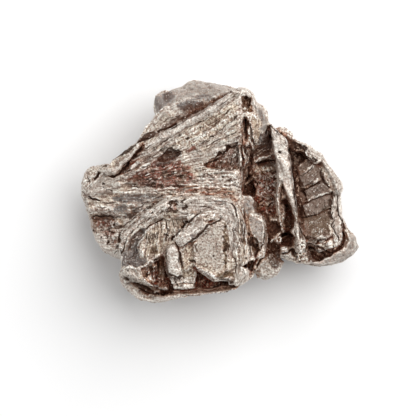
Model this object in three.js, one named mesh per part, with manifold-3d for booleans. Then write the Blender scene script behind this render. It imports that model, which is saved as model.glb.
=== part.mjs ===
// An iron meteorite: one fragment of a coarse octahedrite that broke along its crystal plates.
// It lies on its underside. Millimetres, +Z up, the origin under the middle of the stone at z = 0.
//
// The stone is built as it broke: blocks and plates, each an outline seen from above with a tilted
// top, grown together into one solid over a bowl-shaped underside, and then hollows sunk where
// plates fell out.
import * as THREE from "three";
import { mergeVertices } from "three/addons/utils/BufferGeometryUtils.js";
import Module from "manifold-3d";

const wasm = await Module();
wasm.setup();

const WORN = 0.5; // how far the edge round a block's top is worn back
const THIN = 0.25; // the same on a thin plate
const CLEAR_OF_TOP = 40; // hollows are cut down from here, above the whole stone
const TOE = 2; // how far above its foot a block without a waist of its own reaches its full outline
const FLARE = 1.12; // how much wider a hollow's mouth is than its floor
const MERGE = 1e-4; // corners closer than this are one corner

// Tops are planes [height over the origin, rise per mm along X, rise per mm along Y].
const heightOf = ([height, alongX, alongY], x, y) => height + alongX * x + alongY * y;
const raised = ([height, alongX, alongY], by) => [height + by, alongX, alongY];

const SLAB = [20, 0.22, 0.146]; // the large cleavage face, falling to the left
const CROWN = [29.5, 0.02, -0.68]; // the lump behind it, falling to the back
const BLOCK = [24.6, 0.14, 0.1]; // the front block's arched top
const FACE = [25.2, 0.05, 0.02]; // the bare plate on the front block
const RIB = [21.2, 0.02, 0.16]; // the long standing plate
const WINDOW = [18.3, -0.06, 0.06]; // the floor framed by the right-hand block

// The underside is one bowl, given as level rings of one outline. It stands on its flat lowest ring.
const BELLY = {
  outline: [[-23, -3], [-19, 5], [-11, 11], [-2, 16.5], [6.5, 15.5], [11.5, 9], [19, 4], [23, -4],
    [20, -11], [11, -13.5], [4, -16], [-6, -18.5], [-15, -18], [-20.5, -11]],
  rings: [
    { height: 0, share: 0.5, shift: [1, 0.5] },
    { height: 1.5, share: 0.68, shift: [0.5, 0] },
    { height: 4.5, share: 0.88, shift: [0, -0.3] },
    { height: 9, share: 1, shift: [0, 0] },
    { height: 13, share: 0.86, shift: [0, 0] },
  ],
};

// Blocks and plates. A block rises from its foot, where draw is the share of its outline that is left
// and lean is how far the foot stands aside, to its full outline at the waist. From drop below its top
// it closes in again, to the share of its outline given as crest or, without one, by its worn edge.
const BLOCKS = {
  slab: {
    outline: [[4.2, 19.6], [4.1, 10], [4.3, -3], [-3, -4], [-12, -5], [-20, -5], [-25.5, -2.5],
      [-27.2, 0.5], [-26.8, 2.5], [-24, 4.9], [-20, 5.7], [-16.2, 9], [-12, 11.4], [-6, 14.6],
      [-1.5, 17], [2.3, 19.9]],
    top: SLAB, waist: 11, foot: 2.5, draw: 0.68, lean: [3, -2],
  },
  flake: {
    outline: [[-22.9, 3.8], [-21.3, 3.4], [-19.7, 4.3], [-18.3, 5.6], [-16.6, 7.7], [-15.6, 9.4],
      [-16.2, 9.9], [-18.5, 8.5], [-20.5, 6.8], [-22, 5.6]],
    top: raised(SLAB, 1.3), foot: 10, drop: THIN,
  },
  crown: {
    outline: [[-13.1, 17.7], [-12, 19.7], [-7.5, 21], [-6.2, 22], [-4.5, 22.25], [0, 21.3],
      [3.5, 20.4], [3.2, 17], [-5, 14], [-10, 13.6], [-12.8, 15.3]],
    top: CROWN, waist: 9.5, foot: 4, draw: 0.62, lean: [1, -2], drop: 1.6, crest: 0.84,
  },
  backPlate: {
    outline: [[-17, 9.4], [-15.8, 11], [-14.8, 12.8], [-12.6, 15.2], [-7.6, 18.3], [-3, 18.6],
      [-2, 16.6], [-8, 13], [-13, 10]],
    top: [18.6, 0.12, 0.06], waist: 11, foot: 5, draw: 0.7, lean: [2, -2],
  },
  leftShoulder: {
    outline: [[-27.75, -0.7], [-27.7, 1], [-27.2, 3.6], [-26.1, 4.7], [-23.6, 5.5], [-19, 5],
      [-17, -5], [-26.4, -4.7]],
    top: [22.4, 0.33, 0.1], waist: 9.5, foot: 4.5, draw: 0.66, lean: [2.5, 0], drop: 1.5, crest: 0.86,
  },
  leftLobe: {
    outline: [[-26.9, -3.4], [-26.4, -4.7], [-25.7, -7.5], [-25.2, -9.9], [-23.9, -11.4],
      [-21.9, -12.7], [-19.5, -13.7], [-15, -12], [-15, -3]],
    top: [21, 0.33, 0.06], waist: 9, foot: 3.5, draw: 0.66, lean: [2.5, 0.5], drop: 1.6, crest: 0.86,
  },
  frontBlock: {
    outline: [[-19.7, -13.7], [-19.9, -10.8], [-18.5, -8.2], [-15.4, -5.2], [-12, -2.9],
      [-8.6, -1.2], [-3, -1.3], [1.6, -1.6], [3.3, -3.4], [5, -7], [5.2, -16], [3.4, -18.6],
      [0, -19.2], [-9, -20], [-15.5, -18], [-19.5, -16.4]],
    top: BLOCK, waist: 11, foot: 2, draw: 0.7, lean: [1, 1.5],
  },
  frontLip: {
    outline: [[-20.2, -17.2], [-19.8, -15.9], [-18.4, -15], [4.6, -15.5], [4.4, -18.4],
      [3.2, -19.3], [1, -19.9], [-3, -20.3], [-7, -20.7], [-9, -21.3], [-11, -21.9],
      [-13.5, -22.25], [-16.5, -21.6], [-18.3, -20.2], [-19.6, -18.8]],
    top: [13.4, -0.05, -0.05], waist: 9.5, foot: 3, draw: 0.74, lean: [0.5, 1.6], drop: 1, crest: 0.95,
  },
  leftFoot: {
    outline: [[-20.1, -16.6], [-19.5, -15.4], [-17.6, -14.8], [-16, -15], [-15.3, -16.2],
      [-15.2, -17.8], [-17.8, -18], [-19.6, -18.5]],
    top: [17.6, 0, 0.05], foot: 7, drop: 1, crest: 0.8,
  },
  arch: {
    outline: [[-15.6, -4.9], [-11.2, -2.1], [-8.2, -1], [-3, -1.1], [1.8, -1.5], [3.6, -4],
      [4.4, -8], [4.4, -14], [1.2, -16], [1, -6], [-1, -5.2], [-6, -5.2], [-11, -5.8]],
    top: raised(BLOCK, 0.9), foot: 12,
  },
  facePlate: {
    outline: [[0.8, -5.6], [-1, -6.3], [-3.3, -8.2], [-5, -9.8], [-4.6, -12.8], [-5, -14.5],
      [-1, -17.5], [0.8, -16.6], [1, -10]],
    top: FACE, foot: 12, drop: THIN,
  },
  sidePlate: {
    outline: [[-5, -9.7], [-7.9, -10.9], [-7.3, -14.4], [-6.9, -16], [-5.6, -14.8], [-4.8, -14.2]],
    top: raised(FACE, -0.9), foot: 12, drop: THIN,
  },
  leg: {
    outline: [[-7, -14.6], [-5.7, -14.4], [-5.4, -19.2], [-6.9, -19.3]],
    top: [45, 0, 1.45], foot: 8, drop: THIN,
  },
  upperLens: {
    outline: [[-8.7, -9.7], [-8, -10.6], [-6, -9.9], [-3.4, -8.4], [-2.8, -7.4], [-4.2, -6.3],
      [-6.5, -7.2], [-8.3, -8.6]],
    top: raised(FACE, 0.4), foot: 12, drop: THIN,
  },
  lowerLens: {
    outline: [[-9.7, -10.4], [-8.8, -10.5], [-8, -13], [-7.4, -15.6], [-7.7, -17], [-9, -17.1],
      [-10.2, -15.8], [-10.7, -13], [-10.5, -11.3]],
    top: [27.5, 0, 0.32], foot: 10, drop: THIN,
  },
  folds: {
    outline: [[2.2, -2], [4.4, -2.4], [6, -4.4], [6.9, -8], [7, -13], [5.6, -16.2], [5.4, -17.8],
      [4.4, -18.4], [2.5, -17.5], [2.6, -8]],
    top: [23.6, -0.6, 0.05], waist: 10, foot: 3.5, draw: 0.75, lean: [-0.5, 1],
  },
  knob: {
    outline: [[4.6, -1.4], [5.4, -1], [6.6, -1.2], [7.2, -2.2], [7.1, -4.2], [5, -4.6]],
    top: [18.4, 0, 0], foot: 9, drop: 0.6, crest: 0.75,
  },
  cheek: {
    outline: [[5.6, -4.2], [7.4, -4.4], [8.9, -5.6], [9.4, -7.4], [9.2, -10.4], [8.6, -13],
      [6, -13.4], [5, -9]],
    top: [21, -0.35, 0.02], foot: 5,
  },
  frontToe: {
    outline: [[4.6, -15.2], [6.7, -14.6], [7, -16.2], [6.4, -17.4], [5.2, -17.9], [4.4, -17]],
    top: [12.5, 0, 0], foot: 4.5, draw: 0.8, drop: THIN,
  },
  frontKnee: {
    outline: [[6.9, -15.6], [8.8, -12.6], [10, -11.5], [12, -13.4], [12.8, -14.2], [12.3, -15.8],
      [11.2, -17.1], [9.5, -17.9], [7.9, -17.5]],
    top: [17.6, -0.1, 0.22], waist: 9.5, foot: 3.5, draw: 0.6, lean: [-0.5, 2], drop: 1.2, crest: 0.78,
  },
  column: {
    outline: [[3.8, 20.6], [5.5, 20.2], [6.5, 19.2], [7.2, 17.6], [8.5, 16.7], [9.3, 15.6],
      [9.7, 13.4], [9.6, 10.4], [7.6, 9.2], [6.4, 9.4], [5.8, 12], [3.8, 13]],
    top: [24.6, -0.5, 0.03], waist: 9.5, foot: 3.5, draw: 0.66, lean: [-0.5, -2.5], drop: 1.2, crest: 0.88,
  },
  shelf: {
    outline: [[4.6, 10.5], [10.5, 10.8], [12.4, 6.8], [10.6, 7.2], [8.6, 6.4], [6.6, 5.9],
      [4.6, 5]],
    top: [17.6, 0, 0], foot: 6, drop: THIN,
  },
  bed: {
    outline: [[4, 16], [9.6, 13.4], [12.6, 9], [14, 4], [15, -4], [16.2, -9], [13, -11],
      [8.6, -9], [6.8, -4.5], [4, -3]],
    top: [15.4, 0, 0.1], foot: 6,
  },
  rib: {
    outline: [[9.8, 13.2], [10.1, 13.2], [12.9, 10], [13.7, 7], [14.3, 2], [14.8, -2],
      [15.4, -5.6], [16.9, -9.6], [16.6, -12], [15.2, -12], [14.9, -9], [15, -5.6], [14.2, -3.6],
      [13.2, -0.4], [12.2, 2], [11.9, 5.4], [10.9, 7.2], [10.3, 9.6]],
    top: RIB, foot: 6, drop: THIN,
  },
  innerRib: {
    outline: [[12.4, 2.4], [11.3, 0.4], [11.1, -2.4], [11.5, -4.8], [11.3, -6.2], [12.4, -8.6],
      [13, -8.4], [12.3, -5], [12, -2.4], [12.1, 0.2]],
    top: [18.2, 0, 0.25], foot: 6, drop: THIN,
  },
  hook: {
    outline: [[11.2, 12.1], [12, 12.5], [13, 12.4], [13.9, 11.8], [14.3, 10.6], [14.2, 8.6],
      [13.4, 8.8], [12.9, 10.6]],
    top: [16.6, 0, 0.1], waist: 10.5, foot: 6, draw: 0.8, lean: [0, -1.5], drop: THIN,
  },
  rightBlock: {
    outline: [[14, 10.7], [16.5, 9.5], [18.5, 8.3], [20, 7.2], [21.5, 5.2], [23, 3.3],
      [24.1, 1.8], [24.3, 0.6], [23.8, -0.8], [24, -3], [24.2, -9.8], [22.4, -12], [17.2, -10.6],
      [14.6, -4], [13.6, 4]],
    top: WINDOW, waist: 10, foot: 3, draw: 0.62, lean: [-2, -1],
  },
  outerRim: {
    outline: [[14.2, 10.6], [16.5, 9.5], [18.5, 8.3], [20, 7.2], [21.5, 5.2], [23, 3.3],
      [24.1, 1.8], [24.3, 0.6], [23.7, -0.8], [22.7, -0.4], [21.9, 2.4], [20.4, 4.8], [18.8, 6.4],
      [17, 7.2], [16.2, 8.6]],
    top: [21.6, -0.1, 0.02], foot: 12, drop: 0.6,
  },
  post: {
    outline: [[22.6, -0.4], [23.8, -0.8], [24, -3], [24.2, -9.8], [23.4, -11], [22.2, -12],
      [21, -10.4], [22.4, -9], [22.2, -4]],
    top: [20.6, -0.1, 0.08], foot: 10, drop: THIN,
  },
  crumbs: {
    outline: [[14.8, -10.6], [16.4, -10.2], [17.4, -11.4], [17.4, -13.8], [15.6, -14.5],
      [15, -13.8]],
    top: [14, 0, 0.06], foot: 5, draw: 0.8, drop: THIN,
  },
  rightLip: {
    outline: [[24.1, -4], [24.6, -5.5], [25.8, -7.5], [27.2, -9], [27.75, -11], [26.8, -12.8],
      [24.5, -13.8], [22.5, -14.8], [20.5, -15.2], [17.5, -14.5], [15.4, -14.2], [12, -13],
      [12, -9], [20, -8]],
    top: [19.6, -0.28, 0.02], waist: 9, foot: 3.5, draw: 0.68, lean: [-1.5, 1], drop: 1.2, crest: 0.9,
  },
};

// Hollows. floor is a plane as the tops are, and flare is how much wider the mouth is than the floor.
const HOLLOWS = {
  backCrevice: {
    outline: [[-15.4, 10.4], [-12, 12.6], [-8, 15], [-4, 17], [0, 18.9], [2.3, 20.3], [2.4, 19.6],
      [0, 17.8], [-4.4, 15.6], [-9, 12.9], [-13, 10.7]],
    floor: [16.4, 0.05, 0.04],
  },
  crownHollow: {
    outline: [[-11.6, 19.2], [-10, 20], [-8.6, 19.6], [-8.8, 18.3], [-10.4, 16.8], [-11.6, 16.8]],
    floor: raised(CROWN, -1.6),
  },
  slabPocket: {
    outline: [[-13.4, 6], [-10.3, 8.5], [-8.3, 8.3], [-7.4, 7.4], [-9, 6.1], [-12, 5.7]],
    floor: raised(SLAB, -1.6),
  },
  ledgePocket: {
    outline: [[3.7, 9.9], [2.6, 9.4], [1.2, 9], [0.8, 8.2], [-0.4, 7.9], [-1, 6.8], [-3.4, 5.2],
      [-2, 4.5], [0.5, 4.3], [3.8, 4]],
    floor: raised(SLAB, -1.1), flare: 1.03,
  },
  archValley: {
    outline: [[-19, -14.6], [-18.6, -11], [-17, -8.3], [-14.6, -6.2], [-11, -4.9], [-9.4, -3.8],
      [-8.8, -4.6], [-11.2, -5.9], [-14.6, -7.6], [-16, -10], [-16.6, -13.4]],
    floor: raised(BLOCK, -1.5),
  },
  archGap: {
    outline: [[-10.8, -3.5], [-9.2, -1.8], [-8, -2.4], [-8.8, -3.6], [-10.4, -4.2]],
    floor: raised(BLOCK, -1.8),
  },
  slot: {
    outline: [[4.4, 18.9], [6.3, 18.9], [6.4, 16.6], [4.3, 16.6]],
    floor: [18.6, 0, 0],
  },
  crevice: {
    outline: [[4.6, 15.6], [5.9, 14.8], [6.1, 10], [6.6, 6], [6.8, 0.5], [7, -0.8], [4.7, -1.2],
      [4.5, 5], [4.4, 10]],
    floor: [14.6, 0, 0.12],
  },
  redFloor: {
    outline: [[6.9, 5.7], [8.6, 6.2], [10.6, 6.9], [11.6, 5.6], [11.9, 2.2], [11, 0], [10.9, -5],
      [11.2, -7], [9.6, -5.2], [8.6, -4.4], [7.5, -4], [7.3, -0.6], [6.8, 2]],
    floor: [15.4, 0, 0.1],
  },
  ribGap: {
    outline: [[12.4, 1.6], [13.2, 0], [14, -3], [14.8, -5], [14.8, -7], [13.6, -9.4],
      [10.4, -10.4], [9.8, -6.4], [11.2, -6.6], [12.8, -8], [12.3, -4]],
    floor: [12.4, 0, 0.1],
  },
  windowTop: {
    outline: [[13.9, 8.4], [16.2, 8], [17.6, 6.8], [16, 5.4], [14.9, 3.4], [14.4, 5]],
    floor: [15, 0, 0],
  },
  windowStep: {
    outline: [[16.4, 0.9], [18.4, 1.4], [20.2, 2.4], [21, 1.7], [17.6, 0.4], [16.4, -1]],
    floor: [16.2, 0, 0],
  },
  windowSill: {
    outline: [[17.2, -10.3], [21.6, -11.3], [24.3, -10.6], [24.9, -6.4], [26, -8.4],
      [24.9, -11.2], [22, -13.1], [19.6, -14.2], [17.7, -13.6]],
    floor: [11.2, 0, 0],
  },
  underArch: {
    outline: [[-15.8, -15.2], [-13.2, -13.7], [-11.1, -12.2], [-10.8, -14], [-10.3, -16],
      [-9.3, -17.3], [-9.4, -19], [-13, -19.1], [-15.3, -17.2]],
    floor: [17.2, 0, 0],
  },
  underFace: {
    outline: [[-5.3, -15.1], [-1.2, -17.7], [2, -17.4], [3, -18.4], [-0.4, -18.9], [-5.3, -18.9]],
    floor: [16.4, 0.2, 0],
  },
  frontStep: {
    outline: [[-11, -18.2], [-7.4, -17.9], [-4, -18.4], [0, -18.3], [3.8, -17.9], [4.4, -20.6],
      [-3, -21.2], [-11, -21.8]],
    floor: [15.4, 0, 0],
  },
  frontGroove: {
    outline: [[-17.8, -18], [-15, -18.7], [-13, -19.4], [-4, -19.8], [-4, -20.1], [-10, -20.5],
      [-11.5, -20.9], [-15.6, -20.6]],
    floor: [11.6, 0, 0],
  },
};

function centreOf(outline) {
  const sum = outline.reduce(([x, y], [px, py]) => [x + px, y + py], [0, 0]);
  return sum.map((total) => total / outline.length);
}

function scaled(outline, share) {
  const [cx, cy] = centreOf(outline);
  return outline.map(([x, y]) => [cx + (x - cx) * share, cy + (y - cy) * share]);
}

function moved(outline, [byX, byY]) {
  return outline.map(([x, y]) => [x + byX, y + byY]);
}

// Each corner moved inwards by a distance, square to the line between its neighbours.
function inset(outline, distance) {
  const turn = Math.sign(THREE.ShapeUtils.area(outline.map(([x, y]) => new THREE.Vector2(x, y))));
  return outline.map(([x, y], i) => {
    const [ax, ay] = outline.at(i - 1);
    const [bx, by] = outline[(i + 1) % outline.length];
    const length = Math.hypot(bx - ax, by - ay);
    return [x - (turn * distance * (by - ay)) / length, y + (turn * distance * (bx - ax)) / length];
  });
}

function solidOf(geometry) {
  const merged = mergeVertices(geometry, MERGE);
  return new wasm.Manifold(new wasm.Mesh({
    numProp: 3,
    vertProperties: merged.getAttribute("position").array,
    triVerts: new Uint32Array(merged.index.array),
  }));
}

function geometryOf(solid) {
  const { vertProperties, triVerts } = solid.getMesh();
  const geometry = new THREE.BufferGeometry();
  geometry.setAttribute("position", new THREE.BufferAttribute(vertProperties, 3));
  geometry.setIndex(new THREE.BufferAttribute(triVerts, 1));
  geometry.computeVertexNormals();
  return geometry;
}

// A closed solid through rings of corners, lowest first. Each ring is {outline, height(x, y)}.
function stack(rings) {
  const [base] = rings;
  const shape = new THREE.Shape(base.outline.map(([x, y]) => new THREE.Vector2(x, y)));
  const steps = rings.length - 1;
  const geometry = new THREE.ExtrudeGeometry(shape, { depth: steps, steps, bevelEnabled: false });
  geometry.deleteAttribute("normal").deleteAttribute("uv");
  const position = geometry.getAttribute("position");
  for (let i = 0; i < position.count; i++) {
    const ring = rings[Math.round(position.getZ(i))];
    const isHere = ([x, y]) => Math.hypot(x - position.getX(i), y - position.getY(i)) < MERGE;
    const [x, y] = ring.outline[base.outline.findIndex(isHere)];
    position.setXYZ(i, x, y, ring.height(x, y));
  }
  return solidOf(geometry);
}

function bowl({ outline, rings }) {
  return stack(rings.map(({ height, share, shift }) => ({
    outline: moved(scaled(outline, share), shift),
    height: () => height,
  })));
}

function block({ outline, top, foot, waist = foot + TOE, draw = 1, lean = [0, 0], drop = WORN, crest }) {
  const under = (drop) => (x, y) => heightOf(top, x, y) - drop;
  return stack([
    { outline: moved(scaled(outline, draw), lean), height: () => foot },
    { outline, height: () => waist },
    { outline, height: under(drop) },
    { outline: crest ? scaled(outline, crest) : inset(outline, drop), height: under(0) },
  ]);
}

function hollow({ outline, floor, flare = FLARE }) {
  return stack([
    { outline: scaled(outline, 1 / flare), height: (x, y) => heightOf(floor, x, y) },
    { outline, height: () => CLEAR_OF_TOP },
  ]);
}

const grown = wasm.Manifold.union([bowl(BELLY), ...Object.values(BLOCKS).map(block)]);
const sunk = wasm.Manifold.union(Object.values(HOLLOWS).map(hollow));

const iron = new THREE.MeshStandardMaterial({ color: 0x9c9084, roughness: 0.62, metalness: 0.55 });
const meteorite = new THREE.Mesh(geometryOf(grown.subtract(sunk)), iron);
meteorite.name = "meteorite";

const stone = new THREE.Group();
stone.add(meteorite);
export default stone;
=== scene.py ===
# %% [markdown]
# # An iron meteorite, carved in code
#
# The object is one fragment of a coarse octahedrite: a lump of nickel-iron that grew as plates in four
# crossing directions and later broke along them. Rust has eaten the weaker seams, so the plates stand
# proud as ledges, ribs and thin flakes over red-brown hollows. The lesson follows a carver's order:
# rough block, plates added, hollows sunk, striae and cracks cut, grain last, and then the finish.
#
# The block isn't guessed here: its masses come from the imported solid, and this script only works on
# the surface.

# %% The frame and the units
import math
from functools import partial

import bpy
import numpy as np
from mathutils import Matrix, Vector
from mathutils.bvhtree import BVHTree


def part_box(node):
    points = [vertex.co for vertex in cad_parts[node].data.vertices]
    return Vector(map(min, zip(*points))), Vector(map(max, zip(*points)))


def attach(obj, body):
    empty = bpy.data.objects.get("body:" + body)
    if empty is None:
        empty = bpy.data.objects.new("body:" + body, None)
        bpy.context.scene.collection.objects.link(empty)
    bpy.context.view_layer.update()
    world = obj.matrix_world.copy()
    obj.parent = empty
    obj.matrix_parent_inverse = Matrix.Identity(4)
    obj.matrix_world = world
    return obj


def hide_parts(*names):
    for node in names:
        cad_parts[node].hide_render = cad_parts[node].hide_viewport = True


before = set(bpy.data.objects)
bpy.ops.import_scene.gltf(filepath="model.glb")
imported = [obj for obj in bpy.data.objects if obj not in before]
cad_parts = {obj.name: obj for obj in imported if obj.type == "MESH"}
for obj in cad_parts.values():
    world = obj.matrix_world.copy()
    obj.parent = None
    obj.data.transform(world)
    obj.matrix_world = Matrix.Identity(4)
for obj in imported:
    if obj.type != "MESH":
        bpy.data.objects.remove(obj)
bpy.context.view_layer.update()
MM = 0.001
low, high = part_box("meteorite")
print("the stone is", [round(side / MM, 1) for side in high - low], "mm")

# %% [markdown]
# ## Camera, floor and light
#
# A specimen is mostly shown lying flat with the camera straight above it, on a long lens so
# that tall parts don't lean outwards. The light is one large soft box behind the stone, a little to
# the right, so that shadows fall towards the viewer, and an even white surrounding that opens them.
# A white sweep is lit brighter than the stone, so it goes to clean white outside the shadow.

# %% Camera
FIELD = 83.2 * MM  # how much the frame's side covers at the stone's middle height
LENS = 200.0
SENSOR = 36.0
AIM = Vector((-2.4 * MM, -3.3 * MM, 14 * MM))

camera_data = bpy.data.cameras.new("camera")
camera_data.lens = LENS
camera_data.sensor_width = SENSOR
camera = bpy.data.objects.new("camera", camera_data)
bpy.context.scene.collection.objects.link(camera)
camera.location = AIM + Vector((0, 0, FIELD * LENS / SENSOR))
bpy.context.scene.camera = camera
print("camera", round(camera.location.z / MM), "mm over the floor")


# %% Floor
def nothing_selected():
    bpy.ops.object.select_all(action="DESELECT")


nothing_selected()
bpy.ops.mesh.primitive_circle_add(vertices=96, radius=2.5, fill_type="NGON", location=(0, 0, 0))
floor = bpy.context.object
floor.name = "floor"
white = bpy.data.materials.new("white_sweep")
white.use_nodes = True
for name, value in {"Base Color": (0.9, 0.9, 0.9, 1), "Roughness": 0.9, "Specular IOR Level": 0.1}.items():
    white.node_tree.nodes["Principled BSDF"].inputs[name].default_value = value
floor.data.materials.append(white)
print("floor of", floor.dimensions.x, "m across")


# %% Light
def soft_box(name, towards, elevation, distance, size, watts):
    """A square lamp that looks at the stone from a compass direction (0 is +Y, 90 is +X)."""
    turn, rise = math.radians(towards), math.radians(elevation)
    way = Vector((math.sin(turn) * math.cos(rise), math.cos(turn) * math.cos(rise), math.sin(rise)))
    lamp_data = bpy.data.lights.new(name, "AREA")
    lamp_data.size = size
    lamp_data.energy = watts
    lamp = bpy.data.objects.new(name, lamp_data)
    bpy.context.scene.collection.objects.link(lamp)
    lamp.location = AIM + way * distance
    lamp.rotation_euler = way.to_track_quat("Z", "Y").to_euler()
    return lamp


soft_box("key", towards=48, elevation=52, distance=0.8, size=0.9, watts=8.7)
soft_box("side_fill", towards=-60, elevation=40, distance=0.8, size=0.5, watts=1)

world = bpy.data.worlds.new("studio")
bpy.context.scene.world = world
world.use_nodes = True
surround = world.node_tree.nodes
rays = surround.new("ShaderNodeLightPath")
strength = surround.new("ShaderNodeMapRange")
strength.inputs["To Min"].default_value = 0.38  # what lights the stone
strength.inputs["To Max"].default_value = 1.0  # what the camera sees beyond the floor
world.node_tree.links.new(rays.outputs["Is Camera Ray"], strength.inputs["Value"])
world.node_tree.links.new(strength.outputs["Result"], surround["Background"].inputs["Strength"])
surround["Background"].inputs["Color"].default_value = (1, 1, 1, 1)
bpy.context.scene.view_settings.view_transform = "Standard"
print("lit by", len(bpy.data.lights), "soft boxes and a white surrounding")

# %% [markdown]
# ## The rough block
#
# A copy of the solid is the block to carve. Its triangles are loose, so the copy is merged first.
# Small plates are then cleaved as the real ones were: a block of iron at its size and place, its
# corners split off by flat cuts, its edges worn by a bevel. Everything is joined and remeshed into
# one skin, because grown crystals have no seams between them.

# %% The copied block
block = bpy.data.objects.new("meteorite_skin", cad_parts["meteorite"].data.copy())
bpy.context.scene.collection.objects.link(block)
nothing_selected()
block.select_set(True)
bpy.context.view_layer.objects.active = block
bpy.ops.object.mode_set(mode="EDIT")
bpy.ops.mesh.select_all(action="SELECT")
bpy.ops.mesh.remove_doubles(threshold=0.001 * MM)
bpy.ops.object.mode_set(mode="OBJECT")
print("block of", len(block.data.vertices), "corners")


# %% A cleaver for plates
def cleave(name, at, size, splits, tilt=(0, 0, 0), worn=0.18):
    """A plate centred at a place, in mm. splits are (compass degrees from +X, reach from the middle)."""
    nothing_selected()
    centre = Vector(at) * MM
    bpy.ops.mesh.primitive_cube_add(size=1, location=centre, scale=Vector(size) * MM)
    plate = bpy.context.object
    plate.name = name
    bpy.ops.object.mode_set(mode="EDIT")
    for direction, reach in splits:
        way = Vector((math.cos(math.radians(direction)), math.sin(math.radians(direction)), 0))
        bpy.ops.mesh.select_all(action="SELECT")
        bpy.ops.mesh.bisect(plane_co=centre + way * reach * MM, plane_no=way, use_fill=True, clear_outer=True)
    bpy.ops.mesh.select_all(action="SELECT")
    bpy.ops.mesh.bevel(offset=worn * MM, segments=3, affect="EDGES")
    bpy.ops.object.mode_set(mode="OBJECT")
    plate.rotation_euler = [math.radians(angle) for angle in tilt]
    bpy.ops.object.transform_apply(location=True, rotation=True, scale=True)
    return plate


def pebble(name, at, size, turn=0):
    """A rounded bead of metal."""
    nothing_selected()
    bpy.ops.mesh.primitive_ico_sphere_add(subdivisions=3, radius=0.5, location=Vector(at) * MM,
                                          scale=Vector(size) * MM, rotation=(0, 0, math.radians(turn)))
    bead = bpy.context.object
    bead.name = name
    bpy.ops.object.transform_apply(location=True, rotation=True, scale=True)
    return bead


# %% Plates and beads of the right-hand block
plates = [
    cleave("window_a", (16.9, 4.9, 17.2), (5, 4, 2.6),
           [(25, 2.1), (115, 1.1), (205, 2), (295, 1.3)], (8, 6, 0)),
    cleave("window_b", (18.2, 2.9, 17.3), (6, 4, 2.6),
           [(27, 2.2), (112, 1.5), (205, 2.6), (290, 1.2)], (-7, 8, 0)),
    cleave("window_c", (19.3, 0.1, 17.1), (7, 5, 2.6),
           [(27, 2.8), (118, 1.5), (196, 2.6), (300, 1.3)], (8, -5, 0)),
    cleave("window_d", (19.2, -2.9, 16.9), (7, 5, 2.6),
           [(20, 3), (115, 1.4), (200, 2.9), (292, 1.2)], (-6, 6, 0)),
    cleave("window_e", (19.2, -6.9, 16.6), (8, 7, 2.4),
           [(4, 3.1), (100, 2.4), (160, 3.6), (205, 3.2), (250, 2.7), (300, 3.1)], (-3, -5, 0)),
    cleave("sill_plate", (21.2, -10.4, 15.6), (5, 3, 2),
           [(20, 1.9), (110, 0.8), (200, 2.2), (290, 0.8)], (0, 12, 0)),
    cleave("rim_chip", (18.4, 6.6, 19.2), (4, 2, 1.6),
           [(-38, 1.6), (52, 0.7), (142, 1.8), (232, 0.6)], (6, 0, 0)),
]
plates += [
    pebble("crumb_1", (15.7, -11.3, 13.2), (1.7, 1.6, 1.8)),
    pebble("crumb_2", (16.4, -12.6, 13.0), (1.8, 1.7, 1.6)),
    pebble("crumb_3", (15.3, -13.1, 12.7), (1.4, 1.3, 1.6)),
    pebble("drip", (15.5, -8.7, 17.2), (1.2, 2.8, 3.4), 12),
    pebble("hook_tip", (13.5, 11.3, 16.6), (1.7, 2.2, 2.4), 30),
]
print(len(plates), "plates and beads at the right")

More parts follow.
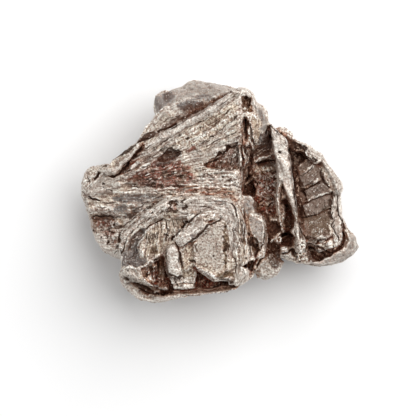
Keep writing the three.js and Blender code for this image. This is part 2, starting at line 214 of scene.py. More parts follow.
# %% Thin walls and floors in the crevices
plates += [
    cleave("back_crust", (-6.5, 15.3, 16.95), (15.5, 2.2, 2.8), [(0, 7.6), (180, 7.6)], (0, -4.5, 26.5)),
    cleave("fold_left", (4.5, 9.6, 18.6), (0.6, 6, 3.6), [(0, 0.28)], worn=0.12),
    cleave("crevice_floor", (5.2, 12.2, 17.6), (1.4, 6, 2.6), [(0, 0.6)]),
    cleave("crevice_wall", (6.3, 9.4, 18.6), (0.45, 2.4, 3), [(0, 0.2)], (0, 0, 10), 0.1),
    cleave("curl_1", (4.9, 6.6, 18), (0.4, 3.6, 4), [(0, 0.18)], (0, 0, -12), 0.1),
    cleave("curl_2", (5.5, 7.0, 17.2), (0.4, 3, 3.4), [(0, 0.18)], (0, 0, -14), 0.1),
    cleave("shelf_edge", (8.4, 6.5, 17.7), (3.7, 0.34, 2.2), [(90, 0.16)], (0, 0, 17), 0.1),
    cleave("well_floor", (13.5, -5.2, 13.2), (2.6, 5.5, 2.6), [(0, 1.2)]),
    cleave("wall_back", (12.9, -0.6, 15.4), (1.6, 3.4, 2), [(0, 0.7)]),
    cleave("branch", (10.6, -5.7, 15.2), (1.8, 0.5, 2), [(90, 0.22)], (0, 0, 10), 0.12),
    pebble("crown_fill", (-10.7, 18.2, 15.2), (4.8, 4.6, 3.2)),
    pebble("slot_floor", (5.3, 17.6, 19.6), (2.4, 2.8, 2.6)),
    pebble("sliver_1", (5.75, 14.4, 20.5), (0.9, 1.6, 2.2)),
    pebble("sliver_2", (5.6, 12.6, 20), (0.6, 1.4, 2.4)),
    pebble("sliver_3", (5.7, 11.0, 19.6), (0.9, 1.4, 2.4)),
    pebble("shelf_bead", (6.7, 2.7, 16.6), (0.8, 0.7, 1.4)),
    pebble("arch_fill", (-9.9, -3.5, 22.9), (3.4, 2.6, 3)),
    cleave("rim_fill", (-7.2, -19.75, 13.8), (7.6, 1.9, 2.6), [(0, 3.7)], (0, 0, 6), 0.4),
    cleave("well_floor_2", (13.2, -9.2, 12.4), (3.2, 3, 2), [(0, 1.5)]),
    cleave("toe_gap", (7.4, -14.3, 12.6), (1.8, 3, 2.6), [(0, 0.8)], (0, 0, -35)),
    cleave("knob_plate", (5.7, -3.0, 18.3), (2.6, 4.4, 2.2), [(90, 2.1), (40, 1.7), (270, 2.1)], (0, 0, 4)),
    pebble("toe_fill", (11.6, -12, 12.4), (2, 2.2, 2.6)),
    pebble("bar_end", (-0.9, -6.0, 24.2), (3.0, 1.5, 1.8), 30),
    cleave("valley_top", (-12.9, -6.3, 20.5), (6.0, 1.6, 2.6), [(0, 2.9)], (0, 0, 28), 0.4),
    cleave("hollow_floor", (-14.1, -15.9, 18.4), (2.9, 3.6, 2.8), [(0, 1.4)], worn=0.3),
    cleave("seam_fill", (1.3, -10.8, 24.0), (0.7, 9.4, 1.7), [(0, 0.34)]),
    cleave("seam_fill_2", (-4.9, -12.2, 23.9), (0.7, 4.4, 1.7), [(0, 0.34)]),
    pebble("rim_gap", (21.4, 2.9, 17.2), (3.2, 6, 3.6), 28),
    pebble("arch_end", (-10.8, -4.9, 21.6), (2.6, 1.7, 3.2), 25),
    pebble("hook_floor", (10.6, -7.6, 13.2), (3.4, 4, 3.4)),
    cleave("rib_side", (11.95, 4.2, 19.6), (1.4, 4.4, 4), [(0, 0.7)], (0, 0, 4), 0.3),
    cleave("front_slot_fill", (-15.3, -19.5, 13.6), (5, 2.4, 3), [(0, 2.4)], (0, 0, -20), 0.4),
    cleave("front_slot_fill_2", (-11.3, -20.0, 13.0), (2.4, 1.8, 2.6), [(0, 1.1)], worn=0.3),
    cleave("hollow_back", (-11.8, -15.2, 17.4), (1.5, 4.8, 2.2), [(0, 0.7)], worn=0.3),
    cleave("thin_wall_1", (11.65, 0.7, 17.9), (0.5, 3.8, 5.2), [(0, 0.24)], (0, 0, -11), 0.15),
    cleave("thin_wall_2", (11.5, -2.9, 17.5), (0.5, 3.8, 5), [(0, 0.24)], (0, 0, 5), 0.15),
    cleave("hook_bar", (10.9, -9.0, 15.6), (2.9, 0.36, 2), [(90, 0.17)], (0, 0, 43), 0.1),
    pebble("hook_knot", (11.6, -9.6, 15.4), (1.3, 1.3, 2.4)),
    cleave("front_step", (-6.9, -18.9, 14.9), (6.2, 2.2, 2.4), [(0, 3.0)], (0, 0, 5), 0.5),
    cleave("valley_floor", (-17.4, -11.2, 19.0), (2.4, 6.4, 2.4), [(0, 1.2)], (0, 0, -24), 0.4),
    cleave("valley_floor_2", (-15.9, -8.2, 19.4), (2.2, 2.6, 2.4), [(0, 1.1)], (0, 0, -40), 0.4),
    cleave("post", (15.5, -8.2, 16.4), (1.9, 4.8, 4), [(0, 0.8), (200, 0.7), (155, 1.3)], (0, 0, 14), 0.3),
    pebble("slot_grit_1", (5.7, 14.5, 21.2), (1.1, 1.3, 1.8)),
    pebble("slot_grit_2", (5.6, 12.0, 20.9), (0.8, 2.0, 1.6)),
    pebble("slot_grit_3", (5.2, 9.5, 19.6), (1.8, 1.4, 2.6)),
]
print(len(plates), "with the crevices")

# %% Plates and beads of the front block and the back
plates += [
    cleave("bar", (-5.4, -7.9, 24.7), (7.6, 3.0, 2.6),
           [(0, 3.9), (180, 3.9), (140, 3.1), (220, 3.0)], (0, 0, 33), 0.95),
    cleave("lens", (-9.0, -13.7, 22.3), (3.2, 6.9, 3.0),
           [(60, 3.2), (120, 3.2), (240, 3.2), (300, 3.2)], (17, 0, 9), 1.1),
    cleave("fold_plate", (-3.4, -4.9, 25.2), (6, 1.9, 1.6), [(0, 2.6), (60, 1.6), (240, 1.7)], (0, 0, 14)),
    cleave("chip", (-16.9, 5.1, 17.7), (2.6, 0.8, 1.6), [(0, 1.2), (180, 1.2)], (0, 0, 40), 0.1),
    cleave("side_plate", (7.1, -7.3, 19.1), (3.4, 7, 2),
           [(10, 1.45), (60, 2.8), (100, 3.1), (190, 1.5), (280, 3)], (0, 10, -4)),
]
plates += [
    pebble("edge_bead", (-1.8, 17.0, 21.4), (1.3, 0.8, 1.0), 20),
    pebble("ledge_bead", (-11.5, 10.6, 19.6), (0.9, 0.8, 0.9)),
    pebble("slot_bead", (-12.3, -19.9, 14.4), (1.5, 1.3, 3.4)),
    pebble("bridge", (5.3, 15.9, 19.6), (2.2, 1.5, 2.2)),
    pebble("knob_cap", (5.9, -2.6, 18.0), (2.4, 3.0, 2.4), 10),
]
print(len(plates), "plates and beads in all")

# %% [markdown]
# The pieces are joined to the block and remeshed with small cubes, a little over a fifth of a
# millimetre wide, which is fine enough for the striae. A light smoothing then wears every edge, since
# no broken iron stays sharp for long.

# %% One skin
VOXEL = 0.22  # mm
nothing_selected()
for plate in plates:
    plate.select_set(True)
block.select_set(True)
bpy.context.view_layer.objects.active = block
bpy.ops.object.join()
remesh = block.modifiers.new("one_skin", "REMESH")
remesh.mode = "VOXEL"
remesh.voxel_size = VOXEL * MM
bpy.ops.object.modifier_apply(modifier=remesh.name)
wear = block.modifiers.new("wear", "SMOOTH")
wear.factor = 0.5
wear.iterations = 3
bpy.ops.object.modifier_apply(modifier=wear.name)
print("skin of", len(block.data.vertices), "vertices")


# %% [markdown]
# ## Working on the skin as arrays
#
# With nearly two hundred thousand vertices the carving is done on arrays, as a sculptor's brush would:
# each stroke is a short line seen from above, in millimetres, and moves the vertices near it up or
# down. The helpers for it are smooth noise, a smooth line through points, the distance to a line, and
# the inside of an outline.

# %% The skin's arrays
def read_skin():
    mesh = block.data
    count = len(mesh.vertices)
    where = np.empty(count * 3, np.float32)
    mesh.vertices.foreach_get("co", where)
    looks = np.empty(count * 3, np.float32)
    mesh.vertex_normals.foreach_get("vector", looks)
    return where.reshape(-1, 3).astype(float) / MM, looks.reshape(-1, 3).astype(float)


def write_skin():
    block.data.vertices.foreach_set("co", (place * MM).astype(np.float32).ravel())
    block.data.update()


place, facing = read_skin()
aim = np.array(AIM[:2]) / MM
nearer = (camera.location.z - AIM.z) / (camera.location.z - place[:, 2:] * MM)  # tall parts look larger
plan = aim + (place[:, :2] - aim) * nearer  # where each vertex is seen from the camera, before anything moves


def ease(value, start, end):
    """0 before start, 1 after end, and a soft S between."""
    share = np.clip((value - start) / (end - start), 0, 1)
    return share * share * (3 - 2 * share)


upward = ease(facing[:, 2], 0.05, 0.5)
seen = ease(facing[:, 2], -0.1, 0.1)  # walls that show from above, however steep
print(round(float(upward.mean()), 2), "of the skin faces up")


# %% Smooth noise
def noise(points, seed):
    """Gradient noise at points, in cells of 1, from about -1 to 1."""
    cell = np.floor(points).astype(np.int64)
    inside = points - cell
    fade = inside ** 3 * (inside * (inside * 6 - 15) + 10)
    total = np.zeros(len(points))
    for corner in np.ndindex(2, 2, 2):
        at = cell + corner
        code = (at[:, 0] * 73856093) ^ (at[:, 1] * 19349663) ^ (at[:, 2] * 83492791) ^ (seed * 2654435761)
        slope = np.zeros(len(points))
        for axis in range(3):
            code = (code * 1103515245 + 12345) & 0x7FFFFFFF
            slope += ((code >> 8) / 0x7FFFFF * 2 - 1) * (inside[:, axis] - corner[axis])
        weight = np.prod(np.where(corner, fade, 1 - fade), axis=1)
        total += slope * weight
    return total * 1.6


# %% Lines and outlines seen from above
def rounded(points, steps=5):
    """The points joined by a smooth line that passes through them."""
    points = np.array(points, float)
    if len(points) < 3:
        return points
    ends = np.vstack([2 * points[0] - points[1], points, 2 * points[-1] - points[-2]])
    line = []
    for before, start, end, after in zip(ends, ends[1:], ends[2:], ends[3:]):
        for t in np.arange(steps) / steps:
            bend = 2 * before - 5 * start + 4 * end - after
            twist = 3 * start - before - 3 * end + after
            line.append(0.5 * (2 * start + (end - before) * t + bend * t ** 2 + twist * t ** 3))
    return np.array(line + [points[-1]])


def by_line(line, where):
    """For each place: distance from the line, side (positive on its left) and share of its length."""
    gap = np.full(len(where), np.inf)
    side, run, travelled = np.zeros(len(where)), np.zeros(len(where)), 0.0
    for start, end in zip(line, line[1:]):
        way = end - start
        length = max(np.hypot(*way), 1e-6)
        share = np.clip((where - start) @ way / length ** 2, 0, 1)
        off = where - start - share[:, None] * way
        distance = np.hypot(off[:, 0], off[:, 1])
        closer = distance < gap
        gap[closer] = distance[closer]
        side[closer] = np.sign(way[0] * off[closer, 1] - way[1] * off[closer, 0])
        run[closer] = travelled + share[closer] * length
        travelled += length
    return gap, side, run / travelled


def within(outline, where, soft):
    """1 inside a closed outline, 0 outside, with an edge soft millimetres wide."""
    closed = np.array([*outline, outline[0]], float)
    share = np.zeros(len(where))
    about = np.flatnonzero(np.all((where > closed.min(0) - soft) & (where < closed.max(0) + soft), axis=1))
    here = where[about]
    inside = np.zeros(len(here), bool)
    for (ax, ay), (bx, by) in zip(closed, closed[1:]):
        if ay != by:
            crosses = (ay > here[:, 1]) != (by > here[:, 1])
            inside ^= crosses & (here[:, 0] < (bx - ax) * (here[:, 1] - ay) / (by - ay) + ax)
    distance = by_line(closed, here)[0]
    share[about] = ease(np.where(inside, distance, -distance), -soft / 2, soft / 2)
    return share


# %% [markdown]
# Straight edges give a computer model away. Before any carving the whole skin is pushed about a little
# by noise, and since strokes are placed by where a vertex was, they crinkle with it.

# %% Crinkle
CRINKLE = [(3.2, 0.26), (1.2, 0.16), (0.6, 0.07)]  # size of the waves and how far they push, mm


def shaken(points, waves, seed):
    """Pushes points about by waves of noise that lie on the skin."""
    for size, push in waves:
        for axis in range(points.shape[1]):
            points[:, axis] += push * noise(place / size, seed + axis + int(size * 10))
    return points


shaken(place, CRINKLE, 11)
place[:, 2] = np.maximum(place[:, 2], 0)
trace = shaken(plan.copy(), [(2.4, 0.16), (0.9, 0.1), (0.45, 0.1)], 31)  # as strokes see it: lines wander
frayed = shaken(trace.copy(), [(1.7, 0.3), (0.75, 0.3)], 41)  # and as stains see it: edges are ragged
uneven = 1 + 0.45 * noise(place / 1.3, 57)  # how the widths of lines vary
patchy = np.clip(0.7 + 1.1 * noise(place / 1.2, 59), 0.1, 1)  # and how fine ones come and go
stretch = np.full(len(place), 0.5)  # the striae's light and dark, for the finish
# one of these tints is brown painted shade, laid in shadowed gaps and below edges, mixed with real stains
pale, rust, slate, tan, dusk, calm = np.zeros((6, len(place)))  # tints, and how even a place looks
crack, rub = np.zeros((2, len(place)))  # how strong a dark or a rubbed line is
FAR_OFF = 5.0
rift, vein = np.full((2, len(place)), FAR_OFF)  # and how far from it a place lies, with a sign, mm
lay = np.zeros((len(place), 3))  # across and along the striae in mm, and a number of the face's own
laid = np.zeros(len(place))  # how surely a place belongs to a ruled face
print("pushed about by up to", round(sum(push for _, push in CRINKLE), 2), "mm")

# %% [markdown]
# ## Striae
#
# Each face of the broken iron is ruled by the edges of the plates beneath it: long fine ridges and
# furrows that all run one way on a face and another way on the next. A face's striae are noise that is
# stretched along a guide line, so they follow it even where it bends. The large face has fanning
# striae, and they're stretched along rays from one point instead.

# %% Striae along a guide
def rule(outline, guide, width, length, depth, seed, soft=1.5, lines=0.0, tint=0.7, wander=0.2):
    """Striae width wide and about length long inside an outline, running along the guide line."""
    inside = within(outline, plan, soft)
    spot = np.flatnonzero((upward > 0) & (inside > 0))
    gap, side, run = by_line(rounded(guide), plan[spot])
    total = sum(np.hypot(*np.subtract(b, a)) for a, b in zip(guide, guide[1:]))
    furrow(spot, inside[spot], side * gap, run * total, width, length, depth, seed, lines, tint, wander)


def furrow(spot, mask, across, along, width, length, depth, seed, lines, tint, wander):
    """Presses a stretched pattern into the vertices at spot. lines adds a share of straight dark seams."""
    def cells(first, second, third):
        return np.column_stack([first, second, np.full(len(spot), third)])

    bent = across + wander * noise(cells(along / 5, across / 3, seed), seed + 90)
    pattern, strength = np.zeros(len(spot)), 0.0
    for octave in range(3):
        scale, share = 2.0 ** octave, 0.62 ** octave
        finer = cells(bent / width * scale, along / length * scale, 7.3 * seed)
        pattern += share * noise(finer, seed + octave)
        strength += share
    pattern /= strength
    pattern = np.clip(pattern * 2.2, -1, 1)
    if lines:
        seam = np.abs(noise(cells(bent / width / 1.7, along / length / 2, 3.1 * seed), seed + 40))
        pattern -= lines * (1 - ease(seam, 0, 0.12))
    mask = mask * upward[spot]
    place[spot, 2] += mask * pattern * depth
    stretch[spot] += mask * 0.4 * pattern * tint
    surer = mask * tint > laid[spot]
    lay[spot[surer]] = cells(bent, along, 5.0 * seed)[surer]
    laid[spot] = np.maximum(laid[spot], mask * tint)


# %% The large face: guide lines from its lower edge to its upper one
SLAB_OUTLINE = [(4.3, 19.8), (4.0, 3), (4.2, -2), (-2, -1.3), (-8, -1), (-13, -3), (-18, -7), (-20, -13),
                (-24, -11), (-26, -5), (-27.5, 0), (-22, 4), (-16, 9), (-9, 11.5), (-3, 15.6), (2.5, 19.8)]
GUIDES = [
    [(-27, -0.4), (-20, -0.8), (-12, -0.6), (-4, -0.5), (4.4, -0.7)],
    [(-27, 0.6), (-20, 1.1), (-12, 2), (-4, 2.3), (4.4, 2.2)],
    [(-26, 1.6), (-20, 2.4), (-14, 3.9), (-6, 5.6), (4.4, 7.6)],
    [(-25.4, 2.6), (-19, 3.6), (-13, 5.7), (-6.7, 7.6), (4.4, 12.2)],
    [(-24.8, 3.6), (-18, 4.8), (-12, 7), (-5, 9.2), (4.4, 15.6)],
    [(-24, 4.6), (-17, 6.3), (-11, 9.4), (-4, 13.4), (4.4, 18.8)],
    [(-23, 5.6), (-16.5, 7.8), (-10.5, 11.2), (-3, 16), (3.4, 20.6)],
]
STEP = 3.0  # mm across from guide to guide, where they lie widest apart
inside = within(SLAB_OUTLINE, plan, 1)
spot = np.flatnonzero((upward > 0) & (inside > 0))
above = []  # how far each vertex lies above each guide
for guide in GUIDES:
    gap, side, _ = by_line(rounded(guide), plan[spot])
    above.append(side * gap)
level = np.minimum(above[0], 0) / STEP + np.maximum(above[-1], 0) / STEP
for lower, upper in zip(above, above[1:]):
    level += np.clip(lower / np.maximum(lower - upper, 0.05), 0, 1)
for width, length, depth, seed, tint in [(1.3, 14, 0.14, 3, 0.9), (0.55, 6, 0.06, 8, 1)]:
    furrow(spot, inside[spot], level * STEP, plan[spot, 0], width, length, depth, seed, 0.3, tint, 0.1)
print("fanned", len(spot), "vertices")

# %% The other faces
rule([(-13, 16), (-12, 20), (-6, 22.5), (3, 21), (2, 19.5), (-6, 17.5), (-9, 17.5)],
     [(-13, 17), (-6, 20.5), (3, 20.8)], 1.6, 6, 0.18, 21)
rule([(-17, 9.5), (-13, 15), (-8, 18.3), (-3, 18), (0, 18.6), (-4, 16), (-10, 12.3)],
     [(-17, 9.5), (-9, 15.5), (0, 19)], 0.8, 5, 0.2, 25, 0.8, 0.4)
rule([(-27.8, 0), (-26.5, 4.5), (-22, 5.5), (-20, 3), (-21, -1), (-26, -2)],
     [(-27, 0), (-23.5, 3), (-20, 3.5)], 1, 3, 0.2, 29, 1.5, 0.4)
rule([(-26.5, -3), (-25, -10), (-22, -12.5), (-20, -13), (-20, -8), (-18.5, -5)],
     [(-26, -4), (-24, -7), (-21, -8.5), (-19, -8)], 0.9, 4, 0.22, 33, 1.5, 0.5)
ARCH = [(-19.8, -14), (-19.8, -10.6), (-18.2, -7.8), (-15.2, -5.2), (-12, -2.6), (-9, -1.2), (-3, -1.1),
        (1.6, -1.6), (3.4, -3.6), (4, -8), (4, -16)]
rule([(-19.8, -14), (-19.8, -10.6), (-18, -7.6), (-12, -2.4), (-9, -1), (2, -1.4), (3.6, -3.6), (4.2, -16),
      (1.4, -16), (1.2, -5.8), (-6.5, -5.4), (-9.5, -4.6), (-14.5, -7.4), (-16.4, -13)],
     ARCH, 1, 6, 0.2, 37, 0.8, 0.5)
rule([(-16, -12.8), (-15.4, -8.8), (-13, -6.4), (-10.9, -5.6), (-7.6, -5.2), (-7.6, -8.6), (-11, -9.5),
      (-11, -12.4), (-14, -14)],
     [(-12.6, -5), (-12.9, -9), (-13.4, -14)], 0.75, 4, 0.24, 41, 0.6, 0.5)
rule([(-5, -10), (-0.5, -6), (1, -6), (1, -16), (-2, -17), (-5, -14.4)],
     [(-5, -10), (1, -6)], 0.9, 1.6, 0.07, 45, 0.6)
rule([(2, -2), (4.6, -2.5), (9, -6), (9.5, -11), (6.5, -16), (4.6, -18.5), (2, -18)],
     [(2.4, -1), (4.2, -7), (4.6, -13), (4, -19)], 0.9, 5, 0.26, 49, 1, 0.5)
rule([(4.4, 20), (6.6, 19), (9.6, 15.5), (9.8, 10.4), (7.4, 9.2), (6, 9.8), (5.8, 15)],
     [(7, 20), (7.8, 15), (7.7, 9)], 0.9, 6, 0.2, 53, 0.8, 0.3)
rule([(9.8, 13.3), (13, 10), (14.2, 3), (15, -5), (17, -11), (15, -12), (14.6, -6), (12, 2), (11.6, 6),
      (10.4, 9)],
     [(10.2, 13), (12.3, 7), (13.6, 0), (15.2, -6), (16.2, -12)], 0.9, 4, 0.12, 57, 0.6)
rule([(14, 8), (18, 6.5), (22, 1), (22.2, -9), (17, -10.3), (15, -5)],
     [(14, 0), (23, 3.6)], 0.9, 3.5, 0.12, 61, 0.8, 0.4)
rule([(14, 10.8), (19, 8.3), (24.4, 1.6), (24.2, -10), (22, -10), (22, 0), (18, 6.6), (14, 8.6)],
     [(13, 10.6), (18.5, 7.6), (23.2, 1.6), (23.2, -11)], 0.9, 4, 0.12, 65, 0.8)
rule([(24, -4), (27.7, -10), (26, -13.6), (20, -15.4), (15, -14.4), (20, -13.6), (25, -11)],
     [(24.2, -4), (26.6, -9), (26, -12.4), (21, -14.6), (15, -14)], 1.2, 5, 0.12, 69, 0.8)
rule([(-20.4, -17), (-18, -14.8), (-15.6, -15), (-15.6, -18), (4.6, -18.4), (3, -19.6), (-9, -21.4),
      (-14, -22.4), (-19, -20)],
     [(-20, -16), (-17, -20), (-11, -21), (-3, -20), (4, -19)], 1.1, 4, 0.14, 73, 0.8)
rule([(6.8, 6), (11.8, 6), (11.4, -6), (9, -4.6), (7, -4)], [(6, 1), (12, 1.5)], 1.1, 1.6, 0.3, 77, 0.8)
print("striae lie on", round(float((laid > 0.3).mean()), 2), "of the skin")

# %% [markdown]
# ## Ledges, ridges and cracks
#
# The features that make this stone itself are carved one by one. A ridge lifts a line, a crack opens
# one, and a ledge lets the side to its right drop away and come back, as a plate does that lies over
# its neighbour. What a stroke does to the metal is noted for the finish as well: ridges are rubbed
# pale, cracks hold black dirt, and below a ledge's edge the ground gets painted shadow.

# %% Strokes along a line
HALO = 0.35  # mm past a line over which its note fades
RUN_OUT = 0.12  # share of its length over which a line dies out at each end
HAIRLINE = 0.24  # mm: thinner cracks than this come and go


def near(points, reach):
    """The upward vertices within reach of a line, with distance, side and a fade at the line's ends."""
    line = rounded(points)
    close = np.all((plan > line.min(0) - reach) & (plan < line.max(0) + reach), axis=1)
    spot = np.flatnonzero(close & (upward > 0))
    gap, side, run = by_line(line, trace[spot])
    gap = gap * uneven[spot]
    keep = gap < reach
    spot, gap, side, run = spot[keep], gap[keep], side[keep], run[keep]
    fade = ease(run, 0, RUN_OUT) * ease(1 - run, 0, RUN_OUT) * upward[spot]
    return spot, gap, side, fade


def draw(layer, strength, spot, gap, side, half, share):
    """Notes a line for the finish: each vertex's distance from it, with a sign, and its strength there."""
    signed = side * gap
    known = np.abs(layer[spot]) < 1
    if (layer[spot[known]] * signed[known]).sum() < 0:  # agree with the lines next to it
        signed = -signed
    closer = gap < np.abs(layer[spot])
    layer[spot[closer]] = signed[closer]
    weight = min(half / 0.3, 1.0) * share * (1 - ease(gap, half, half + HALO))
    strength[spot] = np.maximum(strength[spot], weight)


# %% Ridges, cracks, ledges and bands
def ridge(points, half, height, shine=0.8):
    """Lifts a line, half its width to each side, and rubs it bright."""
    spot, gap, side, fade = near(points, half * 1.5 + HALO)
    crest = (1 - ease(gap, 0, half * 1.5)) * fade
    place[spot, 2] += crest * height
    draw(vein, rub, spot, gap, side, half, shine * fade)
    pale[spot] = np.maximum(pale[spot], crest * shine * 0.6)
    crack[spot] *= 1 - crest


def split(points, half, depth, dirt=1.0):
    """Opens a crack along a line, half its width to each side, and fills it with dirt."""
    spot, gap, side, fade = near(points, half * 1.3 + HALO)
    fade = fade * patchy[spot] ** ease(HAIRLINE - half, 0, 0.08)
    gash = (1 - ease(gap, 0, half)) * fade
    place[spot, 2] -= gash * depth * 0.5
    draw(rift, crack, spot, gap, side, half, dirt * fade)
    pale[spot] *= 1 - gash
    rub[spot] *= 1 - gash


def ledge(points, drop, back, lip, dirt=0.9):
    """Ends a plate at a line. To its right the ground lies drop lower and comes back over a distance."""
    spot, gap, side, fade = near(points, max(back * 2, 1.6))
    over = side * gap
    below = ease(-over, -0.1, 0.22) * np.exp(-gap / back) * (1 - ease(gap, back, back * 2)) * fade
    curled = ease(over, -0.1, 0.1) * np.exp(-gap / 0.5) * fade
    place[spot, 2] += lip * curled - drop * below
    draw(rift, crack, spot, np.abs(over + 0.15), np.sign(over + 0.15), 0.3, dirt * fade)
    # painted shadow: the ground just below the edge is darkened brown, as strong as the dirt of the line
    dusk[spot] = np.maximum(dusk[spot], ease(-over, 0, 0.2) * (1 - ease(gap, 0.2, 0.9)) * fade * dirt)
    pale[spot] = np.maximum(pale[spot], curled * 0.7)


def smear(points, half, tint, share=0.8):
    """Tints a soft band along a line."""
    spot, gap, _, fade = near(points, half * 1.5)
    tint[spot] = np.maximum(tint[spot], (1 - ease(gap, half * 0.4, half * 1.5)) * fade * share)


# %% Strokes that fill an outline
tints = {"pale": pale, "rust": rust, "slate": slate, "tan": tan, "dusk": dusk, "calm": calm}


def tell(part):
    """Prints how much of the top carries a tint or a line so far."""
    marked = np.max([*tints.values(), crack, rub], axis=0)[upward > 0] > 0.2
    print(part, "carved,", round(float(marked.mean()), 2), "of the top is marked")


def tinge(mask, shares):
    for name, share in shares.items():
        np.maximum(tints[name], mask * share, out=tints[name])


def stain(outline, soft, **shares):
    """Tints the inside of an outline, each tint by its share. The edge is ragged."""
    tinge(within(outline, frayed, soft) * seen, shares)


def press(outline, depth, soft, **shares):
    """Lowers the inside of an outline, or lifts it where depth is negative, and may tint it."""
    mask = within(outline, trace, soft) * seen
    place[:, 2] -= mask * upward * depth
    tinge(mask, shares)


def strip(outline, soft=0.4, lift=0.0):
    """Takes the crust off inside an outline, leaves it pale and may lift it."""
    left = 1 - within(outline, frayed, soft)
    for tint in slate, rust, dusk:
        tint *= left
    if lift:
        press(outline, -lift, soft, pale=1)
    else:
        stain(outline, soft, pale=1)


def fill(outline, level, soft=0.3):
    """Brings the ground inside an outline up to a level, and leaves higher ground and far lower sides."""
    missing = np.clip(level - place[:, 2], 0, None) * ease(place[:, 2], level - 8, level - 6)
    place[:, 2] += within(outline, trace, soft) * seen * missing


# %% Strokes that roughen or flatten
def pebbled(outline, size, height, seed, soft=0.6, shine=0.4):
    """Knobs of a size inside an outline, with painted shade between them and painted highlight on top."""
    mask = within(outline, trace, soft) * (facing[:, 2] > -0.2)
    spot = np.flatnonzero(mask)
    knobs = noise(place[spot] / size, seed) + 0.5 * noise(place[spot] / size * 2, seed + 1)
    place[spot, 2] += mask[spot] * height * knobs
    laid[spot] *= 1 - 0.7 * mask[spot]
    # painted shade between the knobs and a painted highlight on their tops
    dusk[spot] = np.maximum(dusk[spot], mask[spot] * ease(-knobs, 0.2, 0.7) * 0.75)
    pale[spot] = np.maximum(pale[spot], mask[spot] * ease(knobs, 0.4, 0.8) * shine)


def flatten(outline, share, soft=0.5, lift=0.0):
    """Draws the inside of an outline towards one flat plate and rubs its striae out."""
    mask = within(outline, trace, soft) * upward
    spot = np.flatnonzero(mask)
    flat = np.column_stack([plan[spot], np.ones(len(spot))])
    weight = mask[spot].copy()
    for _ in range(3):  # each round leaves out what lies far off the last plane
        slope = np.linalg.lstsq(flat * weight[:, None], place[spot, 2] * weight, rcond=None)[0]
        off = flat @ slope - place[spot, 2]
        weight = mask[spot] * (np.abs(off) < 0.8)
    place[spot, 2] += mask[spot] * (share * np.clip(off, -1.2, 1.2) + lift)
    stretch[spot] += mask[spot] * share * (0.5 - stretch[spot])
    laid[spot] *= 1 - mask[spot] * share


# %% Scattered strokes
def scatter(outline, count, seed, length, heading):
    """Short lines strewn inside an outline, all ways or near a heading in degrees, each with its luck."""
    luck = np.random.default_rng(seed)
    corners = np.array(outline, float)
    spots = luck.uniform(corners.min(0), corners.max(0), (count * 3, 2))
    for spot in spots[within(outline, spots, 0.2) > 0.5][:count]:
        turn = luck.uniform(0, math.pi) if heading is None else math.radians(heading + luck.uniform(-7, 7))
        way = np.array([math.cos(turn), math.sin(turn)]) * length * luck.uniform(0.5, 1.3) / 2
        yield [spot - way, spot + way * 0.1, spot + way], luck.uniform(0.6, 1)


def flecks(outline, count, seed, length=0.5, half=0.14, height=0.2, heading=None, shine=1.0):
    """Scatters short bright ridges inside an outline."""
    for line, luck in scatter(outline, count, seed, length, heading):
        ridge(line, half, height, shine * luck)


def pocks(outline, count, seed, length=0.4, half=0.2, depth=0.3, heading=None, dirt=0.9):
    """Scatters short dark nicks inside an outline."""
    for line, luck in scatter(outline, count, seed, length, heading):
        split(line, half, depth, dirt * luck)


# %% [markdown]
# ### The back
#
# Behind the large face stands a smooth worn lump with slate-grey crust, and under it a second plate
# shows its edge. Smooth metal is made by staining an outline calm, which quietens the grain there.

# %% The crown and the second plate
CROWN = [(-13, 16), (-12.6, 19), (-10, 20.6), (-6, 22.4), (0, 22), (3, 20.6), (0, 18.8), (-6, 18.4),
         (-9, 17.9), (-11, 16.6)]
stain(CROWN, 1, calm=0.9, slate=0.44)
stain([(-6.6, 18.8), (-4.6, 19.6), (-2, 19.4), (-0.4, 18.6), (-2.4, 18.2), (-5, 18.4)], 1.2, slate=0.8)
# painted shade: the dark band below the crown, in slate grey and brown
stain([(-8.8, 17.6), (-6.6, 18.4), (-4.2, 18), (-3, 17.4), (-4.6, 16.4), (-7.6, 16.2)], 1.2, slate=1)
stain([(-8, 17.2), (-5.6, 17.8), (-3.4, 17.2), (-4.6, 16.2), (-7, 16)], 1.4, dusk=0.75)
flatten([(-12.9, 16.4), (-12.6, 19.4), (-9.6, 20.6), (-7, 20), (-7.6, 18.6), (-9.8, 17.6), (-11.6, 16.2)],
        0.85, 1.2)
for outline in [
    [(-11.8, 19.4), (-10.4, 20.1), (-9, 19.8), (-9.2, 18.9), (-10.2, 18.6), (-10.6, 17.6), (-11.6, 17.8)],
    [(-12.4, 17.2), (-11.2, 17.6), (-11, 16.9), (-12, 15.8), (-12.8, 15.8)],
]:
    stain(outline, 1.4, slate=1)
    stain(outline, 1.2, dusk=0.5)
stain([(-4.8, 19.2), (-2.6, 19.2), (-0.6, 18.2), (-2.4, 17.6), (-5, 18.3)], 1.2, slate=0.6)
# painted shade on the lower right of the second plate
stain([(-8.8, 16.2), (-7.4, 17.6), (-5.2, 17.4), (-2.6, 18.4), (0, 19.3), (1.6, 19.7), (0, 18.2), (-2, 17),
       (-5, 15.6), (-7, 15.3)], 1.5, dusk=0.6)
flatten([(-9, 14.4), (-9.4, 17.2), (-7, 18.2), (-3, 18.8), (0, 19.2), (-3, 16.6), (-6, 15)], 0.6, 0.8)
# a painted shadow line along the crown's lower edge, over a rust streak
smear([(-2.6, 17.1), (-1, 18), (0.8, 19), (2.8, 20.1)], 0.5, dusk, 1)
smear([(-2.2, 17.3), (0.2, 18.6), (2.6, 20)], 0.4, rust, 0.9)
ridge([(-15.8, 10.9), (-14.6, 13.2), (-13.3, 15), (-11.6, 16.4), (-9.6, 17.4), (-7.8, 18.2)], 0.3, 0.3, 0.8)
split([(-12.6, 11.9), (-11, 12.5), (-9.5, 13.2), (-8.6, 13.8)], 0.28, 0.4, 0.9)
split([(-8, 14.3), (-6.8, 15.1), (-5.4, 15.5), (-3.4, 16.4), (-2.2, 16.9)], 0.2, 0.3, 0.7)
smear([(-12.8, 11.8), (-10.8, 12.7), (-8.4, 14)], 0.5, dusk, 0.8)
smear([(-8.4, 13.8), (-6.6, 14.8), (-4.6, 15.7), (-2, 16.9)], 0.6, dusk, 0.75)
